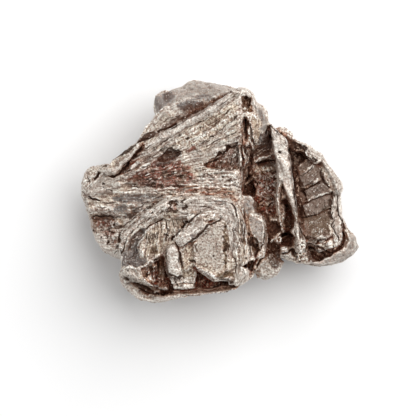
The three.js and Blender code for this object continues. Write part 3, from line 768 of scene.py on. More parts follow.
for line, dirt in [
    ([(-12.4, 13.2), (-10, 14.6), (-8, 15.4)], 0.4), ([(-13.4, 12.9), (-11.6, 14.6), (-10, 15.8)], 0.3),
    ([(-10.6, 12), (-8.6, 13.2), (-6.6, 14.3)], 0.6), ([(-8.4, 13.2), (-5.8, 14.9)], 0.5),
]:
    split(line, 0.2, 0.2, dirt)
SECOND = [(-14.4, 12.4), (-13, 14.8), (-10.8, 16.6), (-8.4, 17.8), (-5, 17.6), (-2, 18.2), (-4, 16.6),
          (-8, 14.6), (-12, 12.4)]
flatten(SECOND, 0.5, 1)
stain(SECOND, 1, calm=0.6)
stain([(-13.6, 12.8), (-11, 15.4), (-8.4, 16.6), (-9, 14.8), (-12.4, 12.6)], 1, tan=0.7)
stain([(-12.6, 12.2), (-9, 15), (-6, 16.4), (-3, 17), (-7, 14.4), (-11, 12)], 1.2, dusk=0.5)
NOTCH = [(-16.8, 9.8), (-15.4, 11.2), (-13.4, 12), (-12.6, 11.6), (-13.2, 10.8), (-15.2, 10)]
press(NOTCH, 0.3, 0.6, dusk=1)
stain(NOTCH, 0.6, slate=1)
split([(-16.8, 9.7), (-15, 10.3), (-13, 10.9)], 0.26, 0.4, 0.8)
stain([(-12.6, 12), (-10.4, 13.6), (-8, 15.2), (-7.2, 14.8), (-9.4, 13.1), (-12, 11.7)], 0.6, dusk=1)
stain([(-14.8, 18.2), (-12.6, 19), (-10.4, 19.4), (-9.6, 18.2), (-11.4, 17), (-13.4, 15.6), (-14.6, 16)],
      0.8, slate=0.62)
stain([(-7.6, 15.2), (-6.8, 17.2), (-4.2, 17.8), (-2.4, 16.8), (-4.6, 15.6), (-6.4, 14.6)], 0.8, rust=0.6)
tell("crown")

# %% [markdown]
# ### The large face
#
# The large face is one crystal plane. Its upper edge is rubbed to a pale band, a tan stretch lies along
# it, and further down the top sheet is torn, with a dark pocket where a piece has come away. Long
# cracks are drawn one by one, since the eye follows them, and short nicks between them are scattered.

# %% The large face: its upper edge and the tan stretch
ridge([(-14.6, 9.3), (-13.2, 10), (-11.6, 10.5), (-10.3, 11.2), (-9.7, 11.6), (-7.6, 13.3), (-5.3, 14.7),
       (-2.9, 15.8), (-0.6, 17.4), (1.3, 18.8), (3.2, 20)], 0.5, 0.3, 0.9)
BAND = [(-15.4, 8.4), (-11.6, 10.4), (-8.6, 12.4), (-5.4, 14.4), (-2, 16.1), (1.4, 18.3), (3.2, 19.5)]
smear(BAND, 0.75, calm, 1)
smear(BAND, 0.6, pale, 0.8)
stain([(-9.2, 9), (-7.6, 12), (-3, 14.8), (3.4, 18.2), (3.6, 15), (-2, 11), (-5, 9)], 1.6, tan=0.9)
pebbled([(-8.6, 9), (-6.6, 12), (-2, 14.4), (3.2, 16.8), (3, 14.4), (-2, 10.8), (-6, 8.6)],
        0.42, 0.1, 93, 1.2, 0.25)
for line, half, depth, dirt in [
    ([(-5.2, 9), (-4.6, 9.4), (-2, 10.8), (-0.1, 12.2), (1.8, 13.6), (3.4, 14.9)], 0.24, 0.4, 0.8),
    ([(-6.7, 7.3), (-2.9, 8.7), (-0.6, 10.2), (1.3, 11.1), (3.2, 11.7)], 0.22, 0.35, 0.7),
    ([(-8.2, 9.7), (-5.3, 11.4), (-2, 13.9), (0.8, 15.9), (3.4, 16.6)], 0.16, 0.2, 0.6),
    ([(-11.4, 9.8), (-7.2, 12.5), (-3.4, 14.3), (0.8, 16.9), (3.5, 18.2)], 0.18, 0.2, 0.6),
    ([(-0.8, 16.8), (0.8, 17.7), (3.2, 19)], 0.2, 0.35, 0.8),
    ([(-13.4, 8.6), (-11.8, 9.4), (-10.6, 10.4)], 0.22, 0.4, 0.9),
    ([(-14.6, 7.3), (-12.4, 8.9)], 0.2, 0.35, 0.8), ([(-13.2, 7.2), (-11, 9.1)], 0.22, 0.35, 0.8),
    ([(-12.1, 7.6), (-10.2, 9.5)], 0.2, 0.3, 0.7), ([(-15.4, 8.2), (-13.7, 9.4)], 0.22, 0.35, 0.8),
    ([(-10.2, 9.9), (-8, 11.4), (-6.2, 12.8)], 0.18, 0.3, 0.7),
    ([(-16.6, 5.6), (-13.6, 7), (-11.6, 8.2)], 0.18, 0.3, 0.8),
    ([(-17.4, 6.2), (-15.2, 7.6)], 0.2, 0.3, 0.8), ([(-4.2, 13.9), (-3.3, 14.3)], 0.24, 0.35, 1),
    ([(1, 15.3), (1.9, 15.8)], 0.24, 0.35, 1), ([(-2, 10.8), (-1.3, 11.2)], 0.24, 0.4, 1),
    ([(0.6, 12), (1.9, 12.6)], 0.24, 0.3, 0.8), ([(2, 11.2), (3, 11.8)], 0.24, 0.35, 0.9),
    ([(2.2, 12.9), (3.3, 13.7)], 0.24, 0.35, 0.9), ([(2.6, 10.6), (3.6, 10.9)], 0.2, 0.3, 0.8),
    ([(2.9, 15), (3.6, 15.4)], 0.22, 0.3, 0.9), ([(0.9, 12.9), (1.6, 13.5), (2.6, 14.1)], 0.22, 0.3, 0.8),
    ([(-2.6, 12.5), (0.4, 14.2)], 0.14, 0.2, 0.6), ([(-5.6, 10.2), (-2.8, 11.8)], 0.14, 0.2, 0.6),
    ([(-8.8, 10.6), (-7, 11.8)], 0.16, 0.2, 0.7),
]:
    split(line, half * 0.8, depth * 0.6,
          dirt * (1.0 if len(line) == 2 and line[1][0] - line[0][0] < 1.2 else 0.7))
UPPER = [(-14, 7.6), (-8, 11.8), (-2, 15.4), (3.2, 18.6), (3.4, 11.4), (-1, 9.4), (-6, 7.6)]
pocks(UPPER, 34, 301, 0.7, 0.18, 0.25, 32, 0.8)
flecks(UPPER, 16, 302, 1.2, 0.12, 0.08, 33, 0.7)
SMOOTH = [(-6, 6.6), (-3, 8.4), (1, 10.2), (3.4, 11), (3.4, 9.8), (1.2, 9.1), (-0.9, 7.6), (-3.4, 5.6)]
stain(SMOOTH, 1.2, calm=0.7, pale=0.45)
pocks(SMOOTH, 26, 333, 0.2, 0.18, 0.15)
smear([(-6.9, 7.8), (-5.8, 8.4), (-4.9, 9)], 0.4, rust, 0.9)
for line in [
    [(-4.6, 8.9), (-1.6, 10.1), (1.4, 11.7), (3.4, 12.4)], [(-9, 9), (-6, 10.4), (-2, 12.2), (2.6, 15.3)],
    [(-6.6, 9.5), (-3, 11.4), (0.5, 13.5), (3.3, 15.6)], [(-12.6, 8.2), (-10.8, 9.8), (-8.8, 11.2)],
]:
    ridge(line, 0.16, 0.12, 0.8)
tell("upper edge")

# %% The large face: pocket and torn ledge
POCKET = [(-13.7, 5.6), (-12.3, 6.7), (-11.3, 7.5), (-10.5, 8.4), (-9.7, 8.9), (-8.9, 8.4), (-8.3, 7.9),
          (-7.4, 7.8), (-8.6, 6.5), (-10, 5.2), (-12.3, 5)]
press(POCKET, 0.1, 0.9, dusk=0.46)
stain(POCKET, 0.9, slate=0.7)
stain([(-15.4, 5.2), (-12, 6.6), (-8.6, 6.8), (-7.4, 5.4), (-9.8, 4.4), (-14.3, 4.2)], 1.2, rust=0.95)
split([(-11.6, 7.2), (-10.9, 8), (-10.3, 8.6), (-9.7, 8.7), (-9, 8.3), (-8.2, 8.1), (-7.7, 7.8)],
      0.3, 0.4, 1)
ledge([(3.7, 9.8), (2.5, 9.3), (1.3, 9.1), (1.1, 8.3), (0.5, 7.9), (-0.6, 7.7), (-0.8, 6.6), (-1.3, 6.2),
       (-2.2, 6), (-3.4, 5.2)][::-1], 0.35, 1.4, 0.2)
ridge([(-10.8, 4), (-9.4, 5.2), (-8.6, 6.2), (-7.3, 7.6)], 0.16, 0.15, 0.4)
TORN = [(-1.9, 5.8), (-0.7, 6.6), (-0.5, 7.6), (1.2, 8.4), (2, 9.1), (3.4, 9.4), (3.7, 4.4), (0, 4.5),
        (-2.8, 5)]
pebbled(TORN, 0.5, 0.12, 95)
stain(TORN, 0.5, rust=0.6, dusk=0.45)
TORN_END = [(2.6, 7.8), (3.6, 8.6), (3.8, 5.2), (3, 4.8), (2.5, 6.2)]
press(TORN_END, -0.1, 0.6, slate=0.5)
stain(TORN_END, 0.6, pale=0.4)
flecks(TORN, 34, 303, 0.5, 0.14, 0.2, 62)
pocks(TORN, 20, 304, 0.5, 0.2, 0.3, 62)
for line in [
    [(3.7, 9.4), (4, 7.5), (3.8, 5.2)], [(4.5, 9.2), (4.7, 7.4), (5, 5.6)],
    [(2.2, 8.9), (1.6, 7.8), (0.8, 6.6)],
]:
    ridge(line, 0.15, 0.2, 0.7)
for line in [
    [(3.5, 9.2), (3.6, 7.6), (3.3, 5.6)], [(4.1, 9.6), (4.4, 7.6), (4.3, 5)],
    [(2.5, 7.6), (2.4, 6.6), (2, 5.4)],
]:
    split(line, 0.2, 0.4, 0.8)
# painted shadow above the lower sheet's edge
smear([(-2.2, 4.6), (0, 4.5), (2, 4.4), (3.6, 4.3)], 0.5, dusk, 0.8)
ridge([(-4.4, 3.6), (-2.6, 4), (-1, 4.2), (1, 4.05), (3.7, 3.6)], 0.24, 0.3, 0.9)
tell("torn ledge")

# %% The large face: lower sheet
SHEET = [(-4, 3.6), (-2, 3.9), (0, 4), (3.6, 3.4), (3.9, 0.2), (1, 0.6), (-3, 0.8), (-7, 1.3), (-5, 2.4)]
press(SHEET, -0.1, 0.8, pale=0.75)
for line, half, dirt in [
    ([(-7, -0.2), (-4, 0.2), (-1.5, -0.1), (0.4, 0.2), (3.2, 0.1)], 0.2, 0.9),
    ([(0.6, 3.1), (2.4, 2.9)], 0.18, 0.7),
    ([(-1.6, 2.9), (-0.4, 1.8), (0.4, 1.6), (1.8, 2.3), (3, 2.2)], 0.18, 0.8),
    ([(-5.4, 1.9), (-3.6, 1.6)], 0.2, 0.8), ([(-9, 1), (-5, 0.9), (-2, 0.6)], 0.2, 0.8),
    ([(-1, 0.9), (1.2, 1.1), (3.4, 0.9)], 0.18, 0.8), ([(-12, 1.3), (-9, 2), (-6, 2.4)], 0.18, 0.8),
    ([(-10, 3.3), (-7, 4.2)], 0.16, 0.7), ([(-14, 3.9), (-10.6, 4.6)], 0.16, 0.7),
    ([(-17, 1.4), (-13, 1.6)], 0.18, 0.8), ([(-22, -2.3), (-19, -2.4), (-17.5, -2.6)], 0.16, 0.8),
    ([(-19.6, 1.2), (-16, 1.4), (-14, 1.5)], 0.16, 0.8), ([(-15, -0.2), (-11, 0), (-7, -0.4)], 0.18, 0.8),
    ([(-3, -0.7), (0, -0.6), (3.4, -0.8)], 0.2, 0.8), ([(-2.4, 2.2), (-1.2, 2.4)], 0.2, 0.8),
    ([(-16, 3), (-12, 3.1)], 0.16, 0.7),
]:
    split(line, half * 0.8, 0.2, dirt * 0.75)
RUSTY = [(-19, 4.6), (-12, 5.6), (-7, 5), (-5, 2.4), (-9, 0.2), (-19, 0.6)]
LOWER = [(-9, 2), (-2, 4), (3.6, 3.6), (3.8, -0.8), (-2, -0.8), (-16, -1.4)]
flecks(RUSTY, 40, 305, 0.8, 0.13, 0.1, 8, 0.9)
pocks(RUSTY, 60, 306, 0.8, 0.2, 0.2, 8, 0.9)
pocks(LOWER, 60, 307, 0.7, 0.18, 0.2, 3, 0.9)
flecks(LOWER, 50, 308, 1, 0.14, 0.12, 3, 0.9)
for line in [
    [(-20.5, -0.2), (-19, -0.25), (-17.6, -0.4)], [(-18.5, 0.5), (-16, 0.6), (-13.6, 0.7)],
    [(-12, 0.3), (-8, 0.6)], [(-9, 1.6), (-5.5, 1.4), (-1, 1.5), (3.4, 1.6)],
    [(-6, 0.5), (-2, 0.9), (3, 0.6)], [(-15, -0.3), (-12, -0.2)], [(-5, 3), (-3, 2.2), (0, 2.8)],
    [(0.4, 2), (2, 2.8), (3.4, 3)],
]:
    ridge(line, 0.16, 0.15, 0.9)
press([(3.5, 19.4), (4.4, 19.4), (4.3, 10.2), (3.8, 10.2)], -0.05, 0.6, pale=0.5)
tell("lower sheet")

# %% [markdown]
# ### The left side
#
# A thin flake stands off the shoulder, slate-grey crust fills the low stretch, and a knobbly lobe ends
# the stone. Rust lies where water stays, so it is stained on wide, soft outlines that overlap.

# %% The left shoulder and its flake
ridge([(-19.8, 2.7), (-18.2, 3.1), (-16.9, 4.1), (-15.4, 5.2), (-14.2, 5.7)], 0.34, 0.25, 0.9)
stain([(-20, 2.6), (-16.6, 4.8), (-14.4, 6.4), (-13.8, 5.6), (-16.2, 3.6), (-18.4, 2.4)], 0.6, pale=0.6)
FLAKE = [(-22.4, 4.4), (-20.2, 5.2), (-18.6, 7.2), (-16.6, 9.4), (-15.9, 9.5), (-17.6, 6.9), (-19.4, 4.9),
         (-21, 4)]
press(FLAKE, -0.1, 0.5, calm=0.8)
stain(FLAKE, 0.5, pale=0.6)
# painted shadow under the flake, in two brown wedges
press([(-20.2, 3.4), (-18.2, 5.8), (-17.6, 5.4), (-18.4, 4.4), (-19.2, 3.6)], 0.2, 0.5, dusk=0.9)
press([(-16.8, 7.4), (-15.6, 9.5), (-15, 9.2), (-15.5, 8.1)], 0.4, 0.4, dusk=1)
split([(-19.4, 7.2), (-18, 8.4), (-16.8, 9.8), (-15.8, 10)], 0.26, 0.4, 0.9)
split([(-22.8, 3.6), (-21.5, 3.3), (-20.6, 3.4), (-19.9, 4.1), (-18.9, 5), (-17.9, 6), (-17.2, 6.9),
       (-16.6, 7.8), (-16, 8.5), (-15.2, 9.3)], 0.32, 1.6)
ridge([(-22.3, 4.1), (-20.9, 4.1), (-19.4, 5.3), (-17.8, 7), (-16.6, 8.8), (-15.9, 9.6)], 0.28, 0.3, 1)
for stroke in [
    ([(-24.5, 4.6), (-23.2, 4.9), (-21.9, 5.9)], 0.2, 0.5, 0.8),
    ([(-19.6, 7.4), (-18.5, 8.1), (-17.8, 8.8), (-16.9, 9.6)], 0.18, 0.4, 0.8),
    ([(-25.1, 2.4), (-24.6, 2.9), (-24.1, 3.7)], 0.26, 0.9, 1),
    ([(-26.6, 2.7), (-26.2, 2.1), (-26.8, 1.8)], 0.2, 0.5, 0.9),
    ([(-26, -1.5), (-25, -1.45), (-24, -1.9)], 0.26, 1, 1),
    ([(-24, -1.9), (-22.4, -2.5), (-20.8, -2.4)], 0.14, 0.3, 0.8),
    ([(-26.1, 0.5), (-25.2, 1.7)], 0.18, 0.3, 0.5),
    ([(-23.5, 1.2), (-23.2, 1.6), (-22.9, 1.4)], 0.26, 0.4, 0.8),
    ([(-23.6, 0.9), (-23.1, 0.7)], 0.2, 0.3, 0.8),
    ([(-22.9, 0.2), (-22.3, 0.3), (-21.5, 0.1)], 0.2, 0.3, 0.7),
]:
    split(*stroke)
for step in range(5):
    x, y = (-27.3 + 0.42 * step, -0.2 - 0.3 * step)
    split([(x - 0.2, y + 0.25), (x + 0.25, y - 0.25)], 0.2, 0.5, 0.9)
press([(-27.7, 0), (-26.8, 4.2), (-23.5, 5.2), (-20.2, 3.6), (-19.6, 1.6), (-22, 0), (-25.6, -0.9)],
      -0.1, 1.2, pale=0.5)
stain([(-27, -1), (-24, 5), (-20, 3), (-20, 0.6), (-23, -1)], 1, calm=0.7)
split([(-21.9, 5.9), (-20.2, 7.1), (-18.6, 8.4), (-17.2, 9.7), (-16.4, 10.2)], 0.26, 0.4, 0.9)
split([(-25.3, 2.2), (-24.6, 3), (-23.9, 4)], 0.32, 0.9)
ridge([(-26, 0.8), (-24.2, 2.6), (-22.8, 4.4), (-21.6, 5.8)], 0.2, 0.15, 0.8)
stain([(-22, 4.6), (-20.8, 4.5), (-19.4, 6), (-19.2, 7.2), (-20.4, 6.6)], 0.7, dusk=0.5)
stain([(-23.8, 5.2), (-22.4, 5.3), (-22, 6.2), (-23.4, 5.9)], 0.6, slate=0.8)
ridge([(-20.5, 1.9), (-20, 1.4), (-20.3, 0.9)], 0.3, 0.3, 1)
smear([(-24.4, 0.2), (-22.6, -0.3), (-21.4, 0.2)], 0.5, dusk, 0.55)
press([(-25.6, -2.4), (-22.4, -2.9), (-21.6, -4.2), (-24, -4.7), (-26, -4.4)], -0.1, 0.8, pale=0.6)
tell("shoulder")

# %% The slate stretch and the striae that bend round the front block
for outline, share in [
    ([(-22, -1.2), (-20.6, -0.5), (-18.6, -0.4), (-17, -0.8), (-14.6, -0.6), (-13, -1.4), (-15, -2),
      (-17.4, -1.9), (-19, -2.3), (-21, -2)], 0.8),
    ([(-21.2, -3.4), (-20.2, -2.8), (-18.8, -2.9), (-18.6, -3.8), (-19.8, -4.4), (-20.9, -4.1)], 0.8),
    ([(-18.4, -3), (-15.6, -2.8), (-15.4, -3.8), (-17, -5), (-18.6, -5.6), (-19.4, -5)], 0.55),
    ([(-15.5, -0.8), (-11, -0.9), (-13.4, -2.2), (-16, -2.4)], 0.5),
]:
    press(outline, 0.08, 0.9, slate=share)
press([(-18.6, -4.6), (-17.4, -3.9), (-16.2, -4), (-17, -5.2), (-18.2, -5.8)], 0.15, 0.7, dusk=1)
ridge([(-21, -2.35), (-18.6, -2.5), (-16.6, -2.6)], 0.2, 0.2, 0.7)
for line, dirt in [
    ([(-20, -7.4), (-18, -5.9), (-16, -4.4), (-14, -2.8)], 0.7),
    ([(-20.2, -8.6), (-18.4, -7), (-16.4, -5.6)], 0.8),
    ([(-18.4, -4.2), (-16.4, -3.2), (-14, -1.9), (-11, -0.9)], 0.6),
    ([(-15.4, -4.3), (-13.2, -2.6), (-11.4, -1.6)], 0.7),
]:
    split(line, 0.18, 0.25, dirt)
for line in [
    [(-19.4, -6.4), (-17.4, -5.2), (-15, -3.3)], [(-19.9, -8.6), (-17.9, -6.5), (-15.6, -4.8)],
    [(-17.6, -3.4), (-15, -2.2), (-12, -1)],
]:
    ridge(line, 0.18, 0.18, 0.7)
stain([(-20, -8.6), (-17.8, -6.6), (-13, -2.4), (-9, -0.8), (-12, -0.6), (-16, -2.4), (-19.6, -5.6)],
      1, rust=0.3)
tell("slate stretch")

# %% The left lobe
DARK_LOBE = [(-25.9, -5), (-24.4, -4.9), (-22.8, -5.1), (-21.4, -5), (-21.2, -6.2), (-22, -7.4), (-24, -7.6),
             (-25.4, -7.3)]
press(DARK_LOBE, 0.1, 1.2, dusk=0.4)
stain(DARK_LOBE, 2, rust=0.7)
press([(-26, -5.4), (-25.2, -4.6), (-21, -4.8), (-20.6, -5.6), (-22.6, -5.7), (-24, -5.9), (-25.4, -5.8)],
      0.15, 0.6, dusk=1)
pebbled([(-25.6, -5.6), (-20.4, -5.4), (-20.6, -7.6), (-25, -7.6)], 0.7, 0.25, 121)
split([(-25.6, -5), (-24.6, -4.8), (-23.4, -5.2), (-22, -5), (-21, -5.3)], 0.24, 0.5, 0.9)
split([(-20.8, -5.3), (-20, -5.1), (-19.2, -5.3)], 0.18, 0.3, 0.8)
for x, y in [(-24.9, -6.3), (-20.3, -6.4)]:
    bump = [(x - 0.7, y), (x, y + 0.6), (x + 0.7, y), (x, y - 0.6)]
    press(bump, -0.35, 0.4, tan=1)
    stain(bump, 0.4, calm=0.7)
for stroke in [
    ([(-25.4, -7.4), (-24.8, -7.8), (-24.4, -8.2)], 0.24, 0.5, 0.9),
    ([(-22.6, -8), (-21.8, -8.2), (-21, -8.6)], 0.22, 0.5, 1),
    ([(-21.5, -6.4), (-21, -6.8)], 0.3, 0.8, 1), ([(-20.6, -6.4), (-20, -6.7)], 0.2, 0.4, 0.8),
    ([(-19.9, -8.4), (-20.1, -9.6), (-20.1, -11), (-19.8, -12.2), (-19.5, -13)], 0.26, 0.8, 0.9),
    ([(-20.6, -11.8), (-21.2, -12.4)], 0.22, 0.4, 0.7), ([(-20.2, -9.2), (-20.6, -10.6)], 0.16, 0.3, 0.7),
]:
    split(*stroke)
ridge([(-21.9, -6), (-21.6, -6.9), (-21.1, -7.2)], 0.2, 0.3, 0.8)
stain([(-22.2, -7.9), (-21, -8), (-20.9, -9), (-21.9, -8.9)], 0.6, rust=1)
stain([(-24.6, -7.4), (-20.6, -7.6), (-20.3, -10.6), (-21.8, -10.8)], 1.2, rust=0.55)
LOBE_SIDE = [(-25, -7.6), (-20.4, -7.2), (-20.3, -11.2), (-22.6, -11.4)]
flecks(LOBE_SIDE, 26, 309, 0.5, 0.14, 0.2)
pocks(LOBE_SIDE, 24, 310, 0.4, 0.2, 0.25)
stain([(-20.8, -5.6), (-19.4, -5.4), (-19.2, -7), (-20.4, -7.4)], 0.8, tan=1)
press([(-25.6, -8.2), (-23.8, -8.4), (-22, -11), (-20, -11.4), (-20.2, -13.6), (-23.6, -12.4)],
      -0.15, 1.2, pale=0.75)
stain([(-25.6, -8.2), (-23.8, -8.4), (-22, -11.2), (-20, -11.8), (-20.2, -13.6), (-23.6, -12.4)], 1.2, calm=1)
for outline, soft, share in [
    ([(-18, 5.2), (-13, 5.8), (-10, 5.6), (-6, 5.2), (-4.6, 3), (-6, 1.6), (-8, 0.2), (-13, 0.2), (-19, 2)],
     2.2, 0.8),
    ([(-13.6, 5.8), (-8.6, 6), (-5.8, 4), (-7, 2), (-10, 2.8), (-13.6, 3.6)], 1.6, 0.95),
    ([(-12, 1.4), (-8.6, 1.6), (-9, 0), (-12.6, 0)], 1.2, 0.75),
    ([(-6, 8), (-2, 9.4), (2, 11.4), (3, 11), (-1, 8.6), (-5, 6.4)], 1.6, 0.25),
    ([(-10, 0.4), (-4, 0.6), (3.4, 0.3), (3.4, -0.5), (-2, -0.5), (-8, -0.5)], 0.8, 0.45),
]:
    stain(outline, soft, rust=share)
stain([(-20, 3.6), (-12, 5.4), (-6, 4.8), (-6, 1.6), (-12, 0.2), (-20, 0)], 2, dusk=0.36)
stain([(-20.2, 2.6), (-15, 3.8), (-14.6, 0.4), (-19.8, 0.5), (-19.2, 1.6)], 1.2, dusk=0.52)
stain([(-20, -0.6), (-12, -0.4), (-10, -1.6), (-15, -3), (-20, -5)], 1.6, slate=0.5)
stain([(-25.8, -8.8), (-21, -9), (-20.2, -12.8), (-22.6, -12.6), (-24.8, -11.2)], 0.8, pale=0.5)
tell("left lobe")

# %% [markdown]
# ### The front block
#
# An arched block stands in front: pale rims round a ribbed lobe, a thick bar and a lens-shaped plate
# that lean on a bare face. Plates that lie free are flattened first, then edged by cracks.

# %% The front block's rims
split([(-19.4, -13), (-19.2, -11.2), (-18.4, -9.2), (-17.1, -7.5)], 0.2, 0.5, 0.9)
split([(-17.1, -7.5), (-15.7, -6.3), (-14.6, -5.5), (-12.9, -5.1), (-11, -4.6)], 0.14, 0.3, 0.6)
ridge([(-19.9, -12.6), (-19.9, -10.6), (-19.3, -9), (-18.3, -7.8), (-17, -6.7), (-15.9, -5.8), (-15, -5.2)],
      0.34, 0.3, 0.7)
ridge([(-15.2, -4.9), (-13.6, -3.6), (-12, -2.5), (-10.5, -1.7), (-9.2, -1.1)], 0.5, 0.4, 0.9)
LEFT_RIM = [(-15.6, -5.2), (-12.4, -2.6), (-9.2, -1), (-8.4, -2), (-10.6, -4.3), (-14.4, -5.7)]
stain(LEFT_RIM, 0.6, pale=0.9, calm=0.6)
pocks(LEFT_RIM, 16, 332, 0.5, 0.2, 0.3, 35)
stain([(-19.8, -12.6), (-19.6, -10), (-17.8, -7.4), (-15.4, -5.2), (-15.2, -6), (-17.2, -8), (-18.6, -10.4),
       (-19, -12.8)], 0.5, pale=0.5)
split([(-14.4, -5.6), (-12.6, -4.6), (-11.4, -4.2), (-10.6, -3.6)], 0.14, 0.2, 0.6)
ridge([(-14.6, -6.2), (-13, -5.3), (-11.8, -4.9), (-10.6, -4.5)], 0.2, 0.25, 0.7)
stain([(-11.2, -4.1), (-10, -2.6), (-8.8, -2.2), (-8.4, -3.8), (-9.3, -4.4), (-10.4, -4.4)], 0.8, rust=0.6)
pocks([(-11.4, -4.1), (-10.2, -2), (-8.4, -1.6), (-6.8, -3), (-8.2, -4.4), (-10.4, -4.4)],
      14, 311, 0.5, 0.22, 0.3)
split([(-11, -4), (-10.4, -3.4), (-10, -3), (-9.6, -3.6), (-9, -3.9), (-8.8, -3.4)], 0.22, 0.3)
split([(-10.6, -2.6), (-9.8, -2.2), (-9, -2.5)], 0.2, 0.4, 0.8)
ridge([(-8.6, -3.2), (-7.2, -2.1), (-6, -1.6), (-4, -1.4), (-1.5, -1.5), (0.5, -1.6), (1.9, -2.1)],
      0.4, 0.3, 0.8)
for stroke in [
    ([(-4.6, -3.1), (-3, -3.2), (-1.9, -3.5), (-0.6, -3.8)], 0.18, 0.4, 1),
    ([(-6.9, -6.2), (-6.1, -6.1), (-5.4, -5.4)], 0.28, 0.6, 0.9),
    ([(-5.2, -5), (-4.6, -4.5), (-3.8, -4.1)], 0.24, 0.5, 0.9),
    ([(-7.4, -3.6), (-6.9, -3.1), (-6.6, -3.3)], 0.28, 0.6, 1),
    ([(-8.6, -4.6), (-7, -4.5), (-5.6, -4.4)], 0.14, 0.3, 0.6),
    ([(-1.4, -2.2), (-0.6, -1.95), (0.4, -1.9), (0.8, -2.2)], 0.14, 0.3, 0.9),
    ([(-1, -2.5), (0, -2.6), (0.7, -2.4)], 0.14, 0.3, 0.7),
    ([(-8, -2.3), (-7.4, -1.8), (-6.7, -1.4)], 0.26, 0.5, 0.9),
    ([(2.1, -2.2), (2.7, -3.2), (3.1, -4.2), (3.4, -5.4)], 0.24, 0.6, 1),
    ([(3.3, -5.2), (3.6, -7), (3.7, -9), (3.6, -10.6), (3.3, -12)], 0.16, 0.4, 0.9),
    ([(2.4, -12.9), (3, -13.8), (3.2, -15), (3, -16.5)], 0.18, 0.5, 1),
    ([(-3, -2.2), (-1.8, -2.3)], 0.14, 0.2, 0.6), ([(-8.4, -5.3), (-6.6, -4.9), (-5, -4.1)], 0.14, 0.2, 0.5),
    ([(2.5, -6), (2.7, -8), (2.6, -10)], 0.16, 0.25, 0.7),
    ([(2.8, -10.2), (2.9, -11.4), (2.6, -12.6)], 0.14, 0.2, 0.6),
]:
    split(*stroke)
press([(-1.2, -2.1), (-0.2, -1.9), (0.7, -2.2), (0, -2.5)], 0.1, 0.4, rust=0.6)
tell("front rims")

# %% The front block's worn top and its stain
CROSS = [(-9, -1.4), (-5, -1.5), (1.8, -1.9), (2.8, -4), (3.3, -8), (3.2, -12.4), (1.9, -12), (1.8, -7),
         (0.8, -5.4), (-2, -3.9), (-4.4, -4.8), (-7, -6.6), (-8.6, -5), (-8.4, -3.6)]
stain(CROSS, 0.8, calm=0.9, pale=0.5)
pocks(CROSS, 26, 334, 0.3, 0.18, 0.2)
STAIN = [(0.5, -5.9), (1.3, -6.6), (1.2, -7.8), (1.5, -9), (2.1, -9.8), (2.1, -11.6), (1.9, -12.4),
         (1.2, -11.6), (1.2, -13), (1.4, -15), (0.8, -15.4), (0.7, -13), (0.9, -11), (0.5, -10), (0.8, -8.4),
         (0.7, -7)]
stain(STAIN, 0.7, dusk=0.6)
pocks(STAIN, 16, 335, 0.4, 0.2, 0.2)
for outline, share in [
    ([(0.4, -9.2), (1.4, -9.6), (2.2, -11), (2.1, -12.4), (1.2, -12), (0.9, -10.6)], 0.75),
    ([(0.5, -5.9), (1.1, -6.5), (1.2, -7.8), (0.7, -7.4)], 0.8),
    ([(0.7, -12.6), (1.3, -13), (1.2, -15), (0.7, -15)], 0.7),
]:
    stain(outline, 0.5, dusk=share)
    pocks(outline, 7, 312, 0.4, 0.2, 0.2)
ARCHED = [(-0.7, -17.4), (-0.2, -16.4), (0.8, -15.7), (1.8, -15.8), (2.6, -16.4), (3, -17.4), (2.2, -17.1),
          (1.4, -16.5), (0.5, -16.9)]
stain(ARCHED, 0.5, dusk=1, tan=1)
stain(STAIN, 0.5, dusk=0.75, tan=0.75)
tell("worn top")

# %% The valley, the ribbed lobe and the striped panel
VALLEY = [(-19.9, -15.2), (-19.3, -12.8), (-18.5, -10.8), (-17.4, -8.9), (-16.2, -7.6), (-14.8, -7.2),
          (-15.4, -9.2), (-16.2, -11.5), (-15, -13), (-14.3, -13.9), (-15.6, -14.8), (-17.8, -15)]
press(VALLEY, 0.15, 0.6, slate=1)
stain(VALLEY, 0.6, calm=0.5)
strip([(-16.4, -12), (-15.8, -11.5), (-15, -12.2), (-15.3, -13.1), (-16.2, -13.2)], 0.4, 0.3)
ridge([(-17.4, -9.9), (-16.8, -9.5), (-16.3, -9.1)], 0.2, 0.3, 1)
split([(-18.6, -12.6), (-17.6, -10.6), (-16.6, -9.4)], 0.14, 0.2, 0.6)
split([(-18.4, -14), (-17, -12.2), (-16.6, -11)], 0.14, 0.2, 0.6)
ridge([(-16.2, -11.2), (-15.9, -9.8), (-15, -8.3), (-14, -7.3), (-12.8, -6.5), (-11.2, -5.8)],
      0.24, 0.3, 0.8)
split([(-15.3, -7.9), (-14.2, -6.9), (-12.8, -6.1), (-11.2, -5.4), (-10.6, -4.9)], 0.2, 0.5, 0.9)
ridge([(-19.7, -15.8), (-18, -15.1), (-16, -15.3), (-15.2, -14.9), (-13.8, -13.9), (-12.6, -13),
       (-11.4, -12)], 0.3, 0.35, 0.9)
split([(-19.2, -15.2), (-18, -14.7), (-16.2, -14.9), (-15, -14.4)], 0.14, 0.3, 0.7)
for x, top, foot, dirt in [
    (-14.7, -8.2, -12.6, 0.7), (-13.9, -7.6, -12.4, 0.8), (-13.1, -7, -12.2, 0.8),
    (-12.4, -6.6, -11.6, 0.7), (-11.8, -6.4, -10.8, 0.8), (-14.3, -9, -11, 0.5), (-13.5, -8.4, -10.8, 0.6),
    (-12.7, -7.4, -9.6, 0.6),
]:
    split([(x, top), (x - 0.15, (top + foot) / 2), (x - 0.3, foot)], 0.16, 0.25, dirt)
stain([(-13.9, -10.9), (-12.8, -10.8), (-12.6, -12.2), (-13.8, -12.3)], 0.8, dusk=0.9)
stain([(-15.2, -8.4), (-11, -6), (-11, -10.6), (-12.6, -12.8), (-14.6, -12.4)], 1, tan=0.8)
